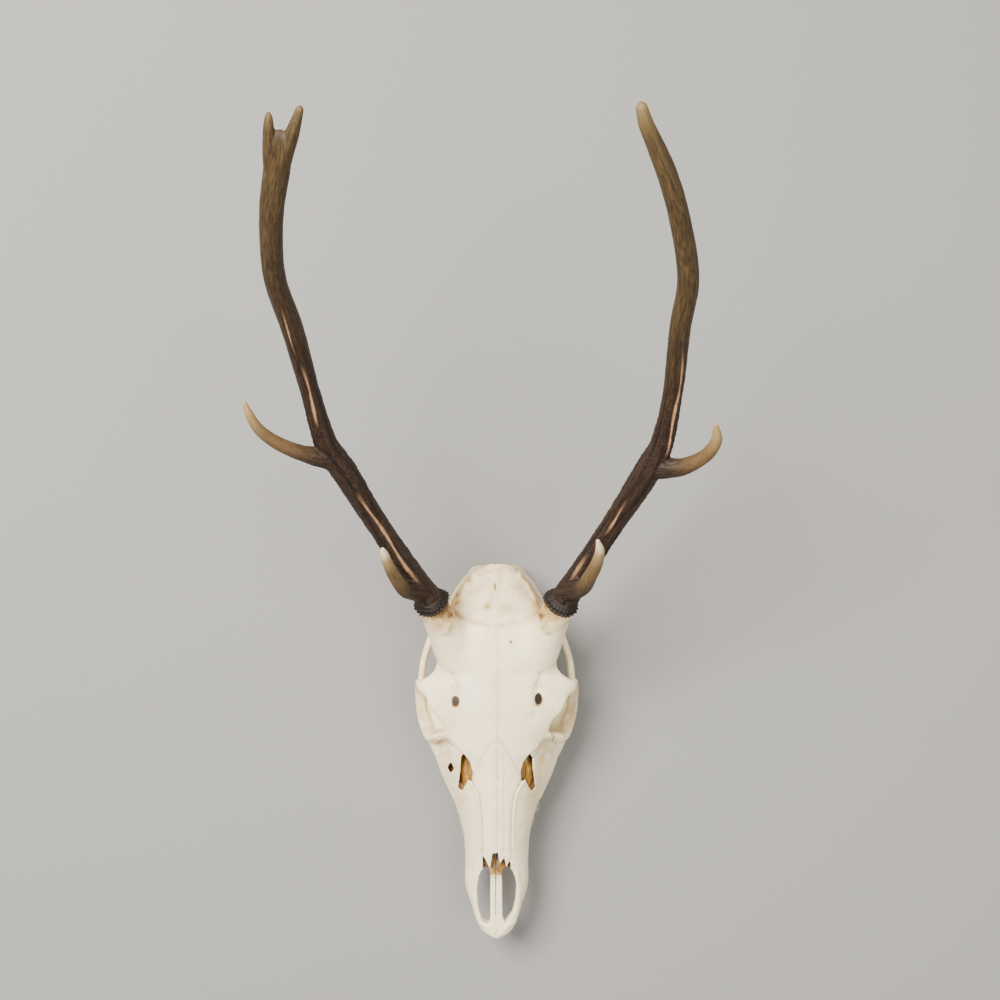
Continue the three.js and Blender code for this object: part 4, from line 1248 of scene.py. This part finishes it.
for name, (value, low, high, least, most) in RANGES.items():
    share[name] = add_node(tree, "ShaderNodeMapRange", {
        "Value": value, "From Min": low, "From Max": high, "To Min": least, "To Max": most,
    }).outputs["Result"]
worn = add_node(tree, "ShaderNodeMath", {0: amount["polish"], 1: share["worn"]}, operation="MULTIPLY")
worn = worn.outputs[0]
weathered = add_node(tree, "ShaderNodeMath", {
    0: amount["pale"], 1: share["worn"]}, operation="MULTIPLY").outputs[0]
LOWER_BARK, UPPER_BARK = "#1E120A", "#3E3019"
LOWER_COAT = [("streak", "#3A2614"), ("dark streak", "#0F0804"), ("fleck", "#4A321D")]
UPPER_COAT = [
    ("streak", "#5E4A2B"), ("dark streak", "#22190D"), ("patch", "#2E2110"), ("high", "#6A5733"),
]
coats = []
for base, layers in ((LOWER_BARK, LOWER_COAT), (UPPER_BARK, UPPER_COAT)):
    shade = colour(base)
    for name, hex_code in layers:
        shade = add_node(tree, "ShaderNodeMix", {
            0: share[name], 6: shade, 7: colour(hex_code)}, data_type="RGBA").outputs[2]
    coats.append(shade)
antler_shade = add_node(tree, "ShaderNodeMix", {
    0: share["climb"], 6: coats[0], 7: coats[1]}, data_type="RGBA").outputs[2]
OVER_COATS = [
    (share["gutter"], "#100804"), (weathered, "#6F5736"), (worn, "#B08560"),
    (amount["tip"], "#AA8F5F"), (share["end"], "#E2D4B2"), (amount["ember"], "#6B3C16"),
]
for cover, hex_code in OVER_COATS:
    antler_shade = add_node(tree, "ShaderNodeMix", {
        0: cover, 6: antler_shade, 7: colour(hex_code)}, data_type="RGBA").outputs[2]
tree.links.new(antler_shade, shader.inputs["Base Color"])
gloss = add_node(tree, "ShaderNodeMapRange", {"Value": worn, "To Min": 0.55, "To Max": 0.36})
tree.links.new(gloss.outputs["Result"], shader.inputs["Roughness"])
shader.inputs["Specular IOR Level"].default_value = 0.3
grain_bump = add_node(tree, "ShaderNodeBump", {
    "Height": fine_grain, "Strength": 0.3, "Distance": 0.0008})
beading = add_node(tree, "ShaderNodeTexVoronoi", {"Vector": fibre, "Scale": 9})
bead_strength = add_node(tree, "ShaderNodeMapRange", {
    "Value": amount["age"], "From Min": 0.2, "From Max": 0.6, "To Min": 0.4, "To Max": 0.1})
bead_bump = add_node(tree, "ShaderNodeBump", {
    "Height": beading.outputs["Distance"], "Strength": bead_strength.outputs["Result"],
    "Distance": 0.0008, "Normal": grain_bump.outputs["Normal"]}, invert=True)
tree.links.new(bead_bump.outputs["Normal"], shader.inputs["Normal"])

ANTLER_NODES = ("lower_beam", "upper_beam", "brow_tine", "middle_tine")
for side, antler in antlers.items():
    dress(antler, stained_antler)
    bpy.ops.object.shade_smooth()
    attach(antler, "root")
    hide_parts(*(f"antler_{side}_{name}" for name in ANTLER_NODES))
